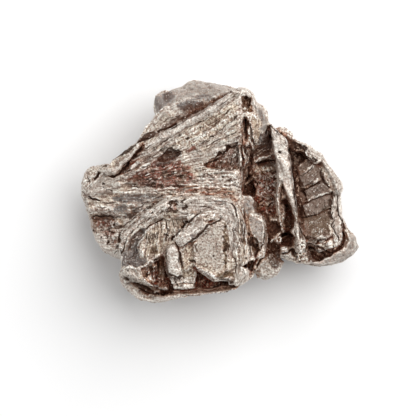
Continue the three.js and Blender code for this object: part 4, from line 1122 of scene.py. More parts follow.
for stroke in [
    ([(-10.95, -5.5), (-10.8, -7), (-10.75, -8.6), (-10.9, -10.4)], 0.22, 0.6, 0.9),
    ([(-11.5, -8.8), (-11.1, -8.6), (-10.2, -8.7)], 0.2, 0.5, 0.9),
    ([(-11.5, -9.6), (-11.4, -11), (-11.6, -11.7)], 0.18, 0.5, 0.8),
    ([(-9.9, -9.4), (-9.3, -9), (-8.9, -8.7), (-8.6, -8.2)], 0.36, 0.9, 1),
    ([(-9.9, -9.5), (-9.5, -9.7)], 0.3, 0.8, 1), ([(-8.6, -8.4), (-7.8, -7.7), (-7.2, -7.2)], 0.22, 0.5, 0.9),
    ([(-10.2, -5.6), (-10, -7.4)], 0.14, 0.25, 0.7), ([(-9.4, -5.4), (-9.2, -7.8)], 0.14, 0.25, 0.7),
    ([(-8.7, -5.4), (-8.4, -7.6)], 0.16, 0.3, 0.8), ([(-8, -5.6), (-7.8, -7)], 0.16, 0.3, 0.8),
    ([(-7.4, -5.8), (-7.2, -6.7)], 0.18, 0.3, 0.8), ([(-10.5, -7.6), (-10.2, -8.4)], 0.14, 0.2, 0.6),
]:
    split(*stroke)
press([(-8.6, -5.3), (-7.2, -5.4), (-6.9, -7.2), (-8.2, -8)], 0.15, 0.6, tan=0.8)
stain([(-11.4, -10.2), (-10.4, -9.6), (-10.2, -10.6), (-11, -11.8)], 0.5, rust=0.5)
tell("valley")

# %% The bar, the lens and the main face
split([(-8.2, -10.9), (-7.6, -10.8), (-6.6, -10.3), (-5.9, -9.9), (-5, -9.3), (-4, -8.5), (-3.3, -7.8),
       (-2.8, -7), (-1.6, -6.5), (-0.8, -6.1), (0.6, -5.1)], 0.24, 0.7)
ridge([(-8, -9.3), (-6.8, -8.6), (-5.6, -8.3), (-4.6, -7.4), (-3.2, -6.8)], 0.4, 0.25, 0.6)
ridge([(-7.8, -7.8), (-6.2, -6.5), (-4.8, -5.4), (-3, -4.5), (-1.2, -4.2)], 0.35, 0.2, 0.8)
BAR = [(-8.6, -9.4), (-6.4, -7.2), (-4.6, -5.6), (-3.2, -5.6), (-3, -7), (-5, -9), (-7.8, -10.6)]
stain(BAR, 0.5, calm=1, pale=0.4)
stain([(-5.9, -8.7), (-4.8, -8.4), (-4.6, -9.2), (-5.6, -9.8)], 0.5, slate=0.9)
smear([(-5, -9.2), (-4, -8.4), (-3.2, -7.6)], 0.35, dusk, 0.7)
press([(-4.6, -5.4), (-3.4, -5.2), (-3.2, -6), (-4.3, -6.3)], 0.1, 0.6, dusk=0.6)
stain([(-1.4, -5.9), (-0.6, -5.6), (0.2, -5.2), (-0.6, -6.2), (-1.8, -6.5)], 0.4, dusk=0.6)
split([(-8.9, -9.9), (-8.6, -10.7), (-8.2, -12), (-7.9, -13.2), (-7.6, -14.4), (-7.4, -15.4)], 0.22, 0.8)
smear([(-8.4, -11.2), (-7.9, -12.8), (-7.5, -14.6)], 0.3, dusk, 0.6)
for stroke in [
    ([(-4.7, -10.3), (-4.8, -11.2), (-4.6, -12.6)], 0.14, 0.2, 0.8),
    ([(-6.4, -13.7), (-5.8, -13.9), (-5.3, -13.8), (-4.9, -14.2)], 0.24, 0.4, 0.9),
    ([(-4.6, -14.2), (-3.4, -14.9), (-2.2, -15.3), (-0.6, -16)], 0.14, 0.3, 0.8),
    ([(-3.4, -14.8), (-3.1, -15)], 0.24, 0.3, 1), ([(-7.1, -11.4), (-6.6, -12.2)], 0.14, 0.2, 0.6),
    ([(-10.8, -11.2), (-10.9, -13), (-10.6, -15), (-10.1, -16.1)], 0.2, 0.3, 0.9),
    ([(-10.2, -16), (-9.6, -16.7), (-8.8, -17.1), (-7.6, -17)], 0.26, 0.5, 1),
    ([(-7.6, -15.4), (-7.5, -16.2)], 0.16, 0.3, 0.9), ([(-9.7, -15), (-9.4, -15.1)], 0.2, 0.2, 1),
    ([(-0.1, -12.7), (0.1, -12.9)], 0.2, 0.2, 1), ([(-2.4, -9.2), (-2.2, -9.3)], 0.2, 0.2, 0.9),
    ([(-8.1, -12.4), (-8.3, -14)], 0.12, 0.1, 0.5), ([(-7.8, -16.6), (-7, -17.4)], 0.2, 0.3, 0.8),
]:
    split(*stroke)
smear([(-4.9, -10.2), (-4.7, -11.4), (-4.6, -12.4)], 0.4, dusk, 0.7)
smear([(-6.3, -13.8), (-5, -14.1)], 0.4, dusk, 0.7)
ridge([(-5, -14.9), (-3.4, -16), (-1.6, -16.9), (-0.4, -17.4)], 0.35, 0.25, 0.9)
FACE = [(-4.6, -10), (-1, -6.8), (0.4, -6.4), (0.6, -12), (0.6, -15.4), (-0.6, -16), (-4.6, -13.8)]
flatten(FACE, 0.7)
stain(FACE, 0.6, calm=0.8)
pebbled(FACE, 0.34, 0.03, 123, 0.6, 0.7)
pocks(FACE, 40, 313, 0.2, 0.18, 0.1, None, 0.9)
stain(FACE, 0.8, tan=0.4)
stain([(-7.4, -11.2), (-5, -10.2), (-4.8, -14), (-5.6, -18), (-7.4, -18)], 0.8, tan=0.9)
LENS_PLATE = [(-9.9, -10.5), (-8.9, -10.6), (-8, -13), (-7.7, -16.6), (-8.8, -17), (-10, -16), (-10.7, -13.6),
              (-10.6, -11.4)]
stain(LENS_PLATE, 0.5, calm=1, pale=0.9)
# painted shadow round the lens plate's lower left edge
press([(-11, -14.2), (-10.5, -15.7), (-9.4, -16.7), (-8, -17.2), (-9.4, -17.5), (-10.9, -16.8)],
      0.2, 0.3, dusk=1)
split([(-9.9, -9.5), (-8.6, -8.4), (-7.4, -7.2), (-6.4, -6.2), (-5.4, -5.2), (-4, -4.2)], 0.24, 0.6, 0.9)
tell("main face")

# %% [markdown]
# ### The foot
#
# Below the arch the stone is hollow, with rust on thin upright walls, and a worn pale rim runs along
# its front. Ground that has to stand higher is filled up to a level, because lifting a steep wall by
# an amount draws it out into spikes.

# %% The foot and its hollow
FRONT_HOLLOW = [(-15.8, -15), (-13.8, -14), (-12.4, -12.8), (-11, -12), (-10.7, -16), (-9.6, -17.4),
                (-9.6, -18.8), (-13, -18.8), (-15.4, -17.4)]
stain(FRONT_HOLLOW, 0.5, rust=0.7)
for x, top, foot, wide in [
    (-15.2, -15.4, -17.2, 0.2), (-14.4, -14.8, -17, 0.3), (-14, -14.6, -16.6, 0.2),
    (-13.1, -14.2, -16.8, 0.28), (-12.6, -14, -16.4, 0.2), (-11.1, -12.6, -17, 0.2),
]:
    smear([(x, top), (x - 0.12, (top + foot) / 2), (x - 0.1, foot)], wide, tan, 0.9)
pebbled([(-15.6, -14.8), (-13.4, -14), (-12.6, -13.6), (-12.6, -17.4), (-15, -17.4)], 0.7, 0.35, 119)
flecks([(-14.9, -14.8), (-13.7, -14.2), (-12.6, -13.4), (-12.6, -17), (-14.6, -17.2)],
       22, 314, 0.6, 0.22, 0.3, 80)
pocks([(-15.4, -15.2), (-13.7, -14.2), (-12.4, -13.2), (-12.2, -17), (-15, -17.2)],
      24, 315, 0.6, 0.22, 0.3, 80)
for x, top, foot in [(-14.75, -15, -17.4), (-13.55, -14.3, -17.6), (-12.3, -13.4, -17.2)]:
    split([(x, top), (x + 0.05, (top + foot) / 2), (x - 0.1, foot)], 0.2, 0.3, 0.9)
HOLLOW_BACK = [(-12.5, -13), (-11.2, -12.4), (-11, -17.2), (-12.4, -17.2)]
press(HOLLOW_BACK, -0.3, 0.4, tan=0.6)
stain(HOLLOW_BACK, 0.4, dusk=0.6)
flecks([(-13, -17.4), (-9.6, -16.8), (-7.4, -17.2), (-5.8, -18.8), (-9, -19.2), (-13, -18.8)],
       26, 316, 0.5, 0.16, 0.25)
stain([(-12.8, -19.5), (-12.3, -19.3), (-11.8, -19.6), (-11.8, -20.2), (-12.5, -20.4)], 0.3, pale=1)
ridge([(-15.6, -17.2), (-14.8, -17.7), (-13.9, -18.1), (-13.2, -18.6)], 0.35, 0.6, 1)
ridge([(-14.8, -17.3), (-13.9, -17.6), (-13.2, -18.2)], 0.24, 0.6, 1)
pebbled([(-11, -17.2), (-9.4, -17.2), (-7.2, -17.2), (-5.6, -18), (-5.6, -19.4), (-9.6, -19.6), (-13, -19)],
        0.6, 0.3, 99)
press([(-9.6, -17.1), (-7.4, -17.1), (-7.4, -18.8), (-9, -18.8)], -0.2, 0.5, pale=0.8)
split([(-9.2, -17.4), (-8.8, -18.2), (-8.2, -18.8)], 0.2, 0.5, 0.9)
split([(-8.2, -17.2), (-7.8, -17.9)], 0.2, 0.5, 0.9)
TRIANGLE = [(-5.6, -14.9), (-4.9, -15.4), (-3.4, -16.5), (-1.8, -17.5), (-0.6, -18), (-1.6, -18.8), (-4, -19),
            (-5, -18.6)]
stain(TRIANGLE, 0.4, rust=0.9)
for line in [[(-4.4, -16.4), (-4.2, -18.2)], [(-3.4, -17), (-3.2, -18.6)], [(-2.4, -17.6), (-2.6, -18.6)]]:
    ridge(line, 0.14, 0.3, 0.5)
tell("hollow")

# %% The front rim
for outline, depth in [
    ([(-17.6, -18), (-16.4, -18.1), (-14.6, -18.9), (-13, -19.4), (-13.2, -20.4), (-15, -20.7),
      (-15.4, -20.2), (-16.6, -20.2), (-16, -19.4), (-17.2, -18.9)], 0.2),
    ([(-12, -19.2), (-10, -19.2), (-9.2, -19.6), (-9.6, -20.4), (-10.8, -20.6), (-11.2, -21), (-11.9, -20.4)],
     0.3),
]:
    press(outline, depth, 0.4, dusk=0.75)
    stain(outline, 0.6, rust=0.5)
for line, half in [
    ([(-17.6, -18.1), (-16.2, -18.3), (-14.6, -19), (-13.2, -19.6)], 0.26),
    ([(-16.4, -19.2), (-15.2, -19.8), (-13.4, -20.4)], 0.24),
    ([(-13.6, -20.2), (-12.6, -20.6), (-11.4, -20.8)], 0.24),
    ([(-10, -19.5), (-7, -19.7), (-4.4, -19.8)], 0.14),
    ([(-1.6, -19), (0, -18.6), (1.6, -18.2), (2.8, -18.1)], 0.24),
    ([(0.4, -17.4), (0.6, -18.2), (-0.4, -18.9)], 0.24), ([(-18.7, -17.4), (-18.2, -17.5)], 0.2),
    ([(-19.6, -17.3), (-19.2, -17.4)], 0.2),
]:
    split(line, half, 0.5, 0.9)
for x, y in [
    (-15.6, -20.7), (-14.9, -20.9), (-14.2, -20.8), (-13.4, -20.9), (-12.6, -20.9), (-11.9, -20.9),
    (-10.2, -20.5),
]:
    ridge([(x, y - 0.2), (x + 0.1, y + 0.3)], 0.24, 0.4, 0.9)
stain([(-0.4, -16.8), (1.6, -15.8), (2.4, -16.6), (1.6, -17.3), (0.2, -17.7)], 0.4, tan=1, dusk=1)
smear([(-1.8, -18.8), (0.2, -18.4), (1.8, -17.9), (3.2, -18.1)], 0.5, dusk, 1)
press([(0.6, -17.2), (1.4, -17.1), (2.8, -17.6), (1.6, -17.7)], -0.3, 0.4, pale=1)
ridge([(-18, -20), (-15.6, -21.5), (-13, -22), (-10, -21.2), (-8, -20.7), (-4, -20.2), (0, -19.9),
       (3.6, -19)], 0.4, 0.15, 1)
stain([(-10, -19.9), (-4, -20), (1, -19.5), (3.6, -18.8), (3.4, -19.4), (-4, -20.6), (-10, -21.2)],
      0.4, pale=0.9)
fill([(-9.6, -17.9), (-7.5, -17.9), (-7.4, -19.3), (-9.2, -19.4)], 20.6)
fill([(-7.6, -17.9), (-5.2, -17.8), (-5.1, -19.2), (-7.5, -19.4)], 21.6)
strip([(-9.6, -18.1), (-7.5, -18.1), (-7.4, -19.3), (-9.2, -19.4)])
stain([(-7.6, -18.1), (-5.2, -18), (-5.1, -19.2), (-7.5, -19.4)], 0.2, tan=1)
stain([(-9.6, -17.4), (-5.4, -17), (-5.1, -19.2), (-9.2, -19.4)], 0.4, pale=0.55, calm=0.6)
fill([(-13, -21), (-9, -20.2), (-4, -20), (1, -19.5), (3.4, -18.9), (3.4, -19.6), (-4, -20.8), (-9, -21.4),
      (-13, -21.7)], 17.6, 0.6)
fill([(-7, -20.1), (-4, -20), (1, -19.5), (3.4, -18.9), (3.4, -19.6), (-4, -20.8), (-7, -20.6)], 18.6, 0.8)
fill([(-9.8, -19.6), (-4, -19.3), (2, -18.7), (2, -19.2), (-4, -19.9), (-9.4, -20.1)], 17.2, 0.6)
strip([(-9.4, -20), (-4, -20), (1, -19.5), (3.4, -18.9), (3.4, -19.6), (-4, -20.8), (-9, -21.4)])
stain([(-9.4, -19.5), (-4, -19.5), (2, -18.8), (2, -19), (-4, -19.7), (-9.4, -19.9)], 0.2, rust=0.8)
flecks([(-4.8, -17.8), (-1, -18.3), (2.6, -18.3), (2, -19.2), (-4.8, -19.6)],
       34, 341, 0.45, 0.16, 0.3, None, 0.9)
stain([(4, -14.8), (6, -15.8), (6, -17.8), (4.4, -19.2), (2.8, -18.8), (3, -15.6)], 0.6, calm=1, tan=0.5)
smear([(-20, -16.4), (-19.4, -18.2), (-17.8, -20), (-15.6, -21.5), (-13, -21.9), (-10, -21.3), (-7, -20.6),
       (-3, -20.3)], 0.3, pale, 1)
FOOT = [(-19.9, -16), (-18, -15.3), (-16, -15.6), (-15.8, -17.4), (-17.4, -17.9), (-19, -18.4)]
press(FOOT, -0.1, 0.8, pale=0.45)
stain(FOOT, 0.8, slate=0.35)
pocks(FOOT, 14, 336, 0.5, 0.2, 0.2)
stain(FOOT, 0.8, calm=0.8)
tell("foot")

# %% [markdown]
# ### The crevice side
#
# Right of the block the plates are seen on edge: folds, a loose cheek, gaps and a wedge of shade, then
# a column with a slot. Their striae run down the stone, so the scattered nicks get a heading.

# %% The folds right of the block
for line, half, dirt in [
    ([(4.3, -3), (4.6, -6), (4.4, -8.6)], 0.14, 0.8),
    ([(3.95, -4.6), (4.3, -7), (4.1, -9.4), (4.2, -11)], 0.18, 0.9),
    ([(4.9, -3.2), (5.1, -6), (4.8, -9)], 0.16, 0.9), ([(5.4, -4.6), (5.7, -7), (5.3, -8.2)], 0.14, 0.8),
    ([(4.1, -12), (4.3, -14), (4.6, -15.6)], 0.14, 0.8),
    ([(5.1, -9.9), (5.6, -10.5), (6.2, -10.6)], 0.18, 0.9),
    ([(5.2, -8.5), (5.5, -8.8), (5.8, -8.6)], 0.24, 1), ([(5.2, -6.9), (5, -7.4)], 0.2, 0.9),
    ([(4.9, -13), (5, -14.2)], 0.12, 0.6), ([(4.7, -15.6), (5, -16.6), (4.9, -17.6)], 0.2, 0.9),
    ([(6, -11), (6.2, -13)], 0.14, 0.7), ([(4.7, -11), (4.8, -13)], 0.12, 0.6),
]:
    split(line, half, 0.2, dirt * 0.8)
FOLDS = [(3.6, -2.6), (5.4, -3), (6, -6), (6.2, -12), (5.4, -14.6), (3.8, -15)]
stain(FOLDS, 0.8, dusk=0.35, tan=0.5)
stain([(4.2, -3.2), (5.6, -3.8), (6, -8.8), (4.6, -9.2)], 0.5, slate=0.7)
pocks(FOLDS, 44, 330, 1, 0.18, 0.2, 92, 0.8)
flecks(FOLDS, 30, 331, 1, 0.14, 0.1, 92, 0.8)
for line in [
    [(4.6, -3.4), (4.85, -6), (4.6, -9)], [(5.2, -4), (5.4, -6.4), (5.15, -9.6)], [(4.1, -3.4), (4.3, -5.6)],
    [(5.5, -10.6), (5.6, -13.4)],
]:
    ridge(line, 0.16, 0.2, 0.8)
press([(4.1, -9.3), (4.5, -9.4), (4.9, -10.3), (4.5, -10.6)], 0.15, 0.4, dusk=1)
CHEEK = [(5.6, -4.2), (7.2, -5.1), (8.4, -5.8), (8.7, -6.8), (8.5, -9), (8.2, -11.2), (7.2, -9.8),
         (6.6, -8.7), (5.8, -8.2)]
flatten(CHEEK, 0.8, 0.5, 0.2)
pebbled(CHEEK, 0.34, 0.03, 125, 0.6, 0.6)
stain(CHEEK, 0.5, calm=0.8)
stain(CHEEK, 0.8, slate=0.48)
KNOB = [(4.8, -1.1), (6.4, -1.2), (6.9, -2.2), (6.8, -4), (5.4, -4.8), (4.6, -3.2)]
flatten(KNOB, 0.5)
for line in [[(5.2, -1.6), (6, -2.2), (6.2, -3.4)], [(5, -2.2), (5.6, -3), (5.8, -4.2)]]:
    split(line, 0.14, 0.1, 0.6)
stain(KNOB, 0.5, calm=0.6, slate=0.5)
tell("folds")

# %% The gap, the cracks and the wedge beside the folds
STRIPS = [(4.3, 9.4), (6, 9.2), (6.5, 5.8), (6.6, 3), (4.8, -0.4), (4.2, 2)]
pebbled(STRIPS, 0.8, 0.35, 115)
pocks(STRIPS, 16, 338, 0.9, 0.26, 0.4, 96)
GAP = [(4.6, -0.7), (6.9, -0.9), (7.2, 0.2), (6.7, 1.4), (6.9, 2.6), (6, 3.4), (5.2, 2.6), (4.8, 1)]
press(GAP, 2.4, 0.4, dusk=1)
pebbled(GAP, 0.7, 0.4, 111)
ridge([(4.9, 1.3), (5.8, 2), (6.8, 3)], 0.3, 1, 0.9)
stain([(4.1, 9), (5.2, 4), (4.8, 0), (4, -0.6), (3.9, 3.4)], 0.6, rust=0.8, dusk=0.6)
ridge([(5.6, -4.2), (7.2, -5.1), (8.4, -5.8), (8.75, -6.8), (8.6, -8.6), (8.3, -10.6)], 0.18, 0.2, 0.9)
split([(8.95, -6), (8.9, -8), (8.6, -10), (8.3, -11.6)], 0.2, 0.5, 0.9)
smear([(9.4, -7), (9.2, -9), (8.9, -11)], 0.4, dusk, 0.7)
for line, half in [
    ([(6.5, -9), (6.4, -9.8), (6.9, -10.7), (7.6, -11.4)], 0.3),
    ([(6.8, -9.2), (7.5, -10.2), (7.9, -11.3)], 0.26), ([(7.9, -11.3), (7.6, -12.2), (7.1, -12.9)], 0.28),
]:
    split(line, half, 0.7, 1)
press([(6.4, -9), (7.6, -10.4), (7.9, -11.4), (7.2, -13), (6.6, -12), (6.3, -10.4)], 0.3, 0.4, dusk=0.8)
press([(6.6, -10.8), (7.2, -10.9), (7.1, -12.2), (6.7, -12.2)], -0.3, 0.3, tan=1)
SHADE = [(4.6, -15.2), (5.4, -14.6), (6.2, -14), (6.8, -14), (6.6, -15), (6.2, -15.6), (5.2, -15.5)]
press(SHADE, 2.4, 0.4, dusk=1)
stain(SHADE, 0.4, rust=0.6)
ridge([(6, -14.2), (6.2, -14.5)], 0.2, 0.4, 1)
ridge([(8.9, -12.7), (8, -13.6), (7.2, -14.6), (6.6, -15.6)], 0.2, 0.3, 1)
split([(9.1, -12.9), (8.2, -13.8), (7.6, -14.6), (7.2, -15.3)], 0.24, 0.6, 0.9)
WEDGE = [(9.2, -9.6), (10.6, -10.6), (12.2, -11.8), (11.6, -13.2), (12, -14.2), (11.4, -15.4), (10.4, -15),
         (9.5, -13), (9.1, -11)]
stain(WEDGE, 0.9, dusk=1)
press([(9.6, -9.6), (12, -11), (12, -13), (11, -12.6), (9.6, -11.4)], 0.2, 0.6, dusk=1)
for line in [
    [(9.8, -12.4), (10.6, -14), (11.4, -15.2)], [(10.2, -12), (11.2, -13.8)], [(9.6, -10.2), (10.2, -11.6)],
]:
    ridge(line, 0.12, 0.2, 0.3)
TOE = [(7.4, -15.2), (9.2, -13), (10.4, -15.2), (11, -16.4), (9.6, -17.6), (7.6, -17.2)]
stain(TOE, 0.8, tan=0.9, calm=1, pale=0.4)
tell("wedge")

# %% The column, its thin ridges and the slot
for points, half, height in [
    ([(5.4, 15.1), (5.6, 14.5), (5.7, 13.9), (5.9, 13.5)], 0.3, 0.4),
    ([(5.7, 13.1), (5.6, 12.2), (5.5, 11.2)], 0.22, 0.4), ([(5.4, 10.9), (5.8, 10.6), (6.1, 10.2)], 0.3, 0.4),
    ([(6.1, 10.3), (6.3, 9.4), (6.6, 8.4)], 0.16, 0.5), ([(4.3, 13.2), (4.2, 12), (4.1, 10.6)], 0.2, 0.3),
    ([(6.2, 15.4), (6.9, 15.2), (7.4, 14.2)], 0.2, 0.2), ([(6.4, 11.8), (6.6, 10.4)], 0.16, 0.2),
    ([(4.9, 8.6), (4.8, 7), (5.2, 5.6)], 0.2, 0.5), ([(5.5, 8.2), (5.6, 6.8), (5.9, 5.6)], 0.2, 0.5),
]:
    ridge(points, half, height, 1)
for points, half in [
    ([(6, 14), (6.2, 12.6), (6.3, 11.4), (6.6, 10), (6.8, 9)], 0.24),
    ([(4.9, 15.2), (4.8, 13.6), (5, 12.2)], 0.28), ([(9.35, 13.2), (9.2, 12.2), (9, 11.4)], 0.3),
    ([(4.4, 10.6), (4.5, 9.4), (4.4, 8)], 0.2), ([(5.2, 9.4), (5.2, 7.8), (5.5, 6.4)], 0.26),
]:
    split(points, half, 0.5, 0.9)
COLUMN = [(6.4, 19), (7.2, 17.6), (9, 16), (9.4, 14), (9, 11.8), (8, 12), (7.8, 14), (7.4, 15.6)]
stain(COLUMN, 0.6, calm=1, slate=0.5)
stain([(6.4, 15.2), (7.8, 14.4), (8, 11.6), (7.4, 9.4), (6.6, 10)], 0.7, tan=1)
stain([(6.6, 14.8), (7.6, 14), (7.8, 11.6), (7.2, 9.6), (6.7, 10.4)], 0.7, dusk=0.5)
for line in [[(7.7, 14.4), (7.8, 13), (7.7, 11.4)], [(8.5, 14.6), (8.5, 12.4)], [(7.2, 13.6), (7.2, 11.2)]]:
    smear(line, 0.3, dusk, 0.35)
# painted shade in the wedge between the column and the rib, grey and brown
stain([(7.7, 11.4), (9, 11.4), (10.3, 13), (10.4, 9.6), (8.4, 9.2), (7.6, 9.9)], 0.7, slate=1)
stain([(7.7, 11.4), (9, 11.4), (10.2, 10.8), (9.8, 9.6), (9, 9.6), (8.4, 10.4)], 0.7, dusk=0.7)
for x, y in [(8, 9.9), (8.4, 9.6), (8.7, 10.2), (7.6, 10.4)]:
    ridge([(x - 0.15, y), (x + 0.15, y + 0.15)], 0.24, 0.3, 1)
SLOT = [(4.2, 19.1), (6.5, 19.1), (6.4, 16.2), (4.3, 16.1)]
press(SLOT, 0.6, 0.3, tan=0.7)
stain(SLOT, 0.3, dusk=1)
flecks(SLOT, 12, 326, 0.5, 0.15, 0.2, None, 0.9)
tell("column")

# %% [markdown]
# ### The recess, the well and the rib
#
# The long rib stands free between a rusty recess and a dark well. The floors are rough with granules,
# and the rib itself is rubbed bare, so it gets almost nothing but its edges.

# %% The recess and its floor
SHELF = [(6.2, 7), (7.4, 6.9), (9, 7.2), (10.5, 7.4), (10.4, 9.8), (9.4, 9.4), (8.2, 9.2), (6.5, 8.6)]
stain(SHELF, 0.6, dusk=0.7, slate=1)
for line in [[(6.6, 7.2), (8, 8.2), (9.8, 9.4)], [(7.6, 7.4), (9, 8.2), (10.2, 8.8)], [(6.4, 8), (7.4, 8.8)]]:
    ridge(line, 0.16, 0.15, 0.35)
ridge([(6.6, 5.8), (7.1, 6.2), (7.4, 6.3), (7.7, 6.55), (8.1, 6.45), (8.6, 6.6), (9.2, 6.7), (10, 7.05),
       (10.4, 7.1)], 0.13, 0.3, 1)
# painted shadow below the shelf's bright edge: a dark line here, and brown shade three lines down
split([(7, 5.6), (8.2, 6), (9.4, 6.2), (10.6, 6.3), (11.4, 6.2)], 0.3, 0.9)
stain([(6.4, 3.6), (11, 4.2), (11.2, -5), (9.4, -4.8), (6.8, -3.6)], 0.6, rust=1, tan=0.25)
stain([(6.8, 5), (11, 5.2), (11.4, 4.2), (8.8, 3.4), (6.9, 3.2)], 0.8, tan=1)
# painted shadow under the shelf's edge
stain([(7.4, 5.8), (11.4, 6), (11.6, 5.2), (9, 5), (7.2, 5)], 0.8, dusk=0.8)
press([(6.6, -1), (8, -2.4), (8.8, -5), (7.4, -4.6), (6.6, -3)], 0.3, 0.8, dusk=0.8)
pebbled([(6.4, 6), (11, 6), (11.2, -5), (9.4, -4.8), (6.8, -3.6)], 0.8, 0.3, 101, 0.6, 0)
flecks([(7, 4.8), (11, 5), (11, -4), (8, -3)], 110, 317, 0.3, 0.13, 0.2, None, 0.9)
pocks([(6.9, 5), (11.4, 5.2), (11.2, -4.6), (8.6, -4.6), (7, -2)], 44, 319, 0.4, 0.22, 0.25)
ridge([(9.2, -2.7), (9.9, -2.2), (10.5, -1.8)], 0.24, 0.3, 1)
split([(9.4, -3.1), (10.1, -2.6), (10.7, -2.2)], 0.26, 0.4, 1)
ridge([(12, 2.4), (11.8, 1.2), (11.6, 0.1), (11.2, -0.8), (11.4, -1.8), (11.6, -3), (11.6, -4.2),
       (11.3, -5.2), (11.5, -6.2)], 0.34, 0.6, 1)
ridge([(10, -5.4), (10.6, -5.7), (11.4, -5.6)], 0.24, 0.4, 1)
smear([(12, 2.4), (11.8, 1.2), (11.6, 0.1), (11.3, -1.8), (11.6, -4.2), (11.3, -5.2), (11.5, -6.2)],
      0.36, pale, 1)
smear([(9.4, -5.4), (10.4, -5.8), (11.4, -5.5)], 0.36, pale, 1)
tell("recess")

# %% The well and its hook
stain([(11.9, -4), (12.7, -4), (12.9, -8), (12.2, -8.4), (11.8, -6.6)], 0.5, tan=1)
WELL_STRIP = [(11.9, -2), (12.9, -2), (13, -8), (12.2, -8.4), (11.8, -6.6)]
fill(WELL_STRIP, 17.2)
# painted light: the strip is painted pale, partly its own colour and partly standing in for light its deep
# place misses
stain(WELL_STRIP, 0.4, pale=0.55)
WELL = [(12.4, -2), (13.6, -2), (14.6, -4.4), (14.4, -7.4), (14.8, -10.6), (12.4, -10.8), (12.6, -7)]
press(WELL, 0.2, 0.5, dusk=0.6)
stain(WELL, 0.5, rust=0.8)
pebbled(WELL, 0.6, 0.3, 107)
flecks(WELL, 14, 320, 0.4, 0.13, 0.2, None, 0.6)
WALL_KNOB = [(12.1, 1.4), (13.2, 0.6), (13.3, -1.6), (12, -2)]
stain(WALL_KNOB, 0.6, tan=1)
fill(WALL_KNOB, 18.6)
stain(WALL_KNOB, 0.5, pale=0.5)
pebbled(WALL_KNOB, 0.6, 0.3, 129)
for line in [[(12, -4.4), (12.1, -6.6), (12.4, -8.2)], [(12.5, -4.4), (12.6, -6.8)]]:
    ridge(line, 0.14, 0.2, 0.6)
stain([(9.2, -6), (11.8, -6.2), (12, -8), (10.4, -9.4), (9.4, -10)], 0.5, dusk=0.9)
press([(9.2, -4.6), (9.9, -5.2), (9.9, -8.6), (9.2, -8.8)], 0.3, 0.4, dusk=1)
pebbled([(9.4, -6.2), (11.6, -6.4), (11.8, -8.2), (10, -8.6)], 0.6, 0.25, 103)
for points, half in [
    ([(10, -10.1), (10.5, -9.5), (11.2, -9), (11.9, -8.1)], 0.24),
    ([(11.2, -9), (10.9, -9.7), (11.3, -10.3), (11.9, -10.1), (12, -9.3)], 0.2),
]:
    ridge(points, half * 1.5, 0.9, 1)
    smear(points, half * 1.6, pale, 1)
RING = [(11.6, -8.9), (12.15, -9.2), (12.2, -9.9), (11.7, -10.3), (11.1, -10.1), (11, -9.4)]
fill(RING, 17.4)
strip(RING, 0.25)
press([(11.4, -9.3), (11.8, -9.25), (11.85, -9.85), (11.45, -9.9)], 0.5, 0.2, dusk=1)
HOOK = [(9.9, -10), (10.6, -9.4), (11.3, -8.8), (11.9, -8), (12.1, -8.2), (11.5, -9.1), (10.6, -9.8),
        (10, -10.3)]
fill(HOOK, 17.2)
strip(HOOK, 0.25)
tell("well")

# %% The rib and the posts
RIB = [(10.2, 13), (11.4, 12), (13.4, 8), (14.1, 3), (14.6, -1), (15.1, -4.6), (14, -3), (13, -0.4),
       (12.4, 1.4), (11.6, 2.4), (11.2, 3), (11.1, 6), (10.6, 7.4), (10.4, 10)]
stain(RIB, 0.4, pale=0.95)
stain(RIB, 0.5, calm=1)
split([(11.9, 8.2), (12.1, 7.9), (12.3, 8.1)], 0.3, 0.7)
ridge([(10.9, 7.2), (11.5, 6.7), (12.3, 6.6)], 0.2, 0.3, 0.9)
split([(11.2, 7.4), (11.8, 7), (12.4, 6.9)], 0.16, 0.3, 0.7)
split([(10.2, 13.2), (11, 12.5), (11.9, 11.6)], 0.24, 0.6)
# painted shade on the rib's right flank
smear([(13.6, 8.6), (14.2, 4), (14.6, 0), (15.2, -4)], 0.35, dusk, 0.5)
split([(13.9, 9), (14.6, 4), (14.9, 0), (15.4, -4)], 0.24, 0.8, 0.9)
ridge([(12.5, 1.6), (13.2, 1), (13.2, 0), (13.4, -1), (13.9, -2.2), (14.4, -3.4)], 0.2, 0.3, 0.9)
split([(11.7, 11.4), (12.6, 11.6)], 0.2, 0.4)
BLACK_GAP = [(12.3, -8.5), (13.6, -8), (14.7, -8.7), (14.4, -9.6), (14.8, -10.4), (14, -10.9), (13, -10.8),
             (12.2, -10.4), (12.2, -9.4)]
press(BLACK_GAP, 1.6, 0.5, dusk=1)
POST = [(15, -4.6), (15.5, -6.4), (16.2, -8.4), (16.9, -10.5), (15.2, -10.6), (15, -9.2), (14, -8),
        (14.6, -6.8)]
fill(POST, 18.8)
strip(POST)
stain(POST, 0.4, calm=0.7)
PALE_SPOT = [(12, -10.9), (13.8, -10.9), (13.6, -11.9), (12.6, -12.3)]
fill(PALE_SPOT, 16.8)
strip(PALE_SPOT)
split([(12.2, -12.4), (13.6, -12.1), (14.4, -11.4), (14.7, -12.4)], 0.26, 0.6, 0.9)
press([(14.3, -11.6), (14.9, -11.2), (14.9, -12.8), (14.3, -12.6)], 0.4, 0.4, dusk=1)
CRUMBS = [(14.6, -10.4), (17, -10.2), (17.3, -13.8), (15, -14)]
stain(CRUMBS, 0.6, tan=1)
press(CRUMBS, -0.4, 0.6, pale=0.7)
pebbled(CRUMBS, 0.75, 0.4, 109)
flecks(CRUMBS, 26, 321, 0.4, 0.16, 0.25)
pocks(CRUMBS, 18, 322, 0.4, 0.22, 0.3)
tell("rib")

# %% [markdown]
# ### The right-hand block
#
# A rim frames a window of broken plates. Each plate is flattened and edged by a crack and a bright
# line, a groove runs round the outside, and smooth worn rims close the block.

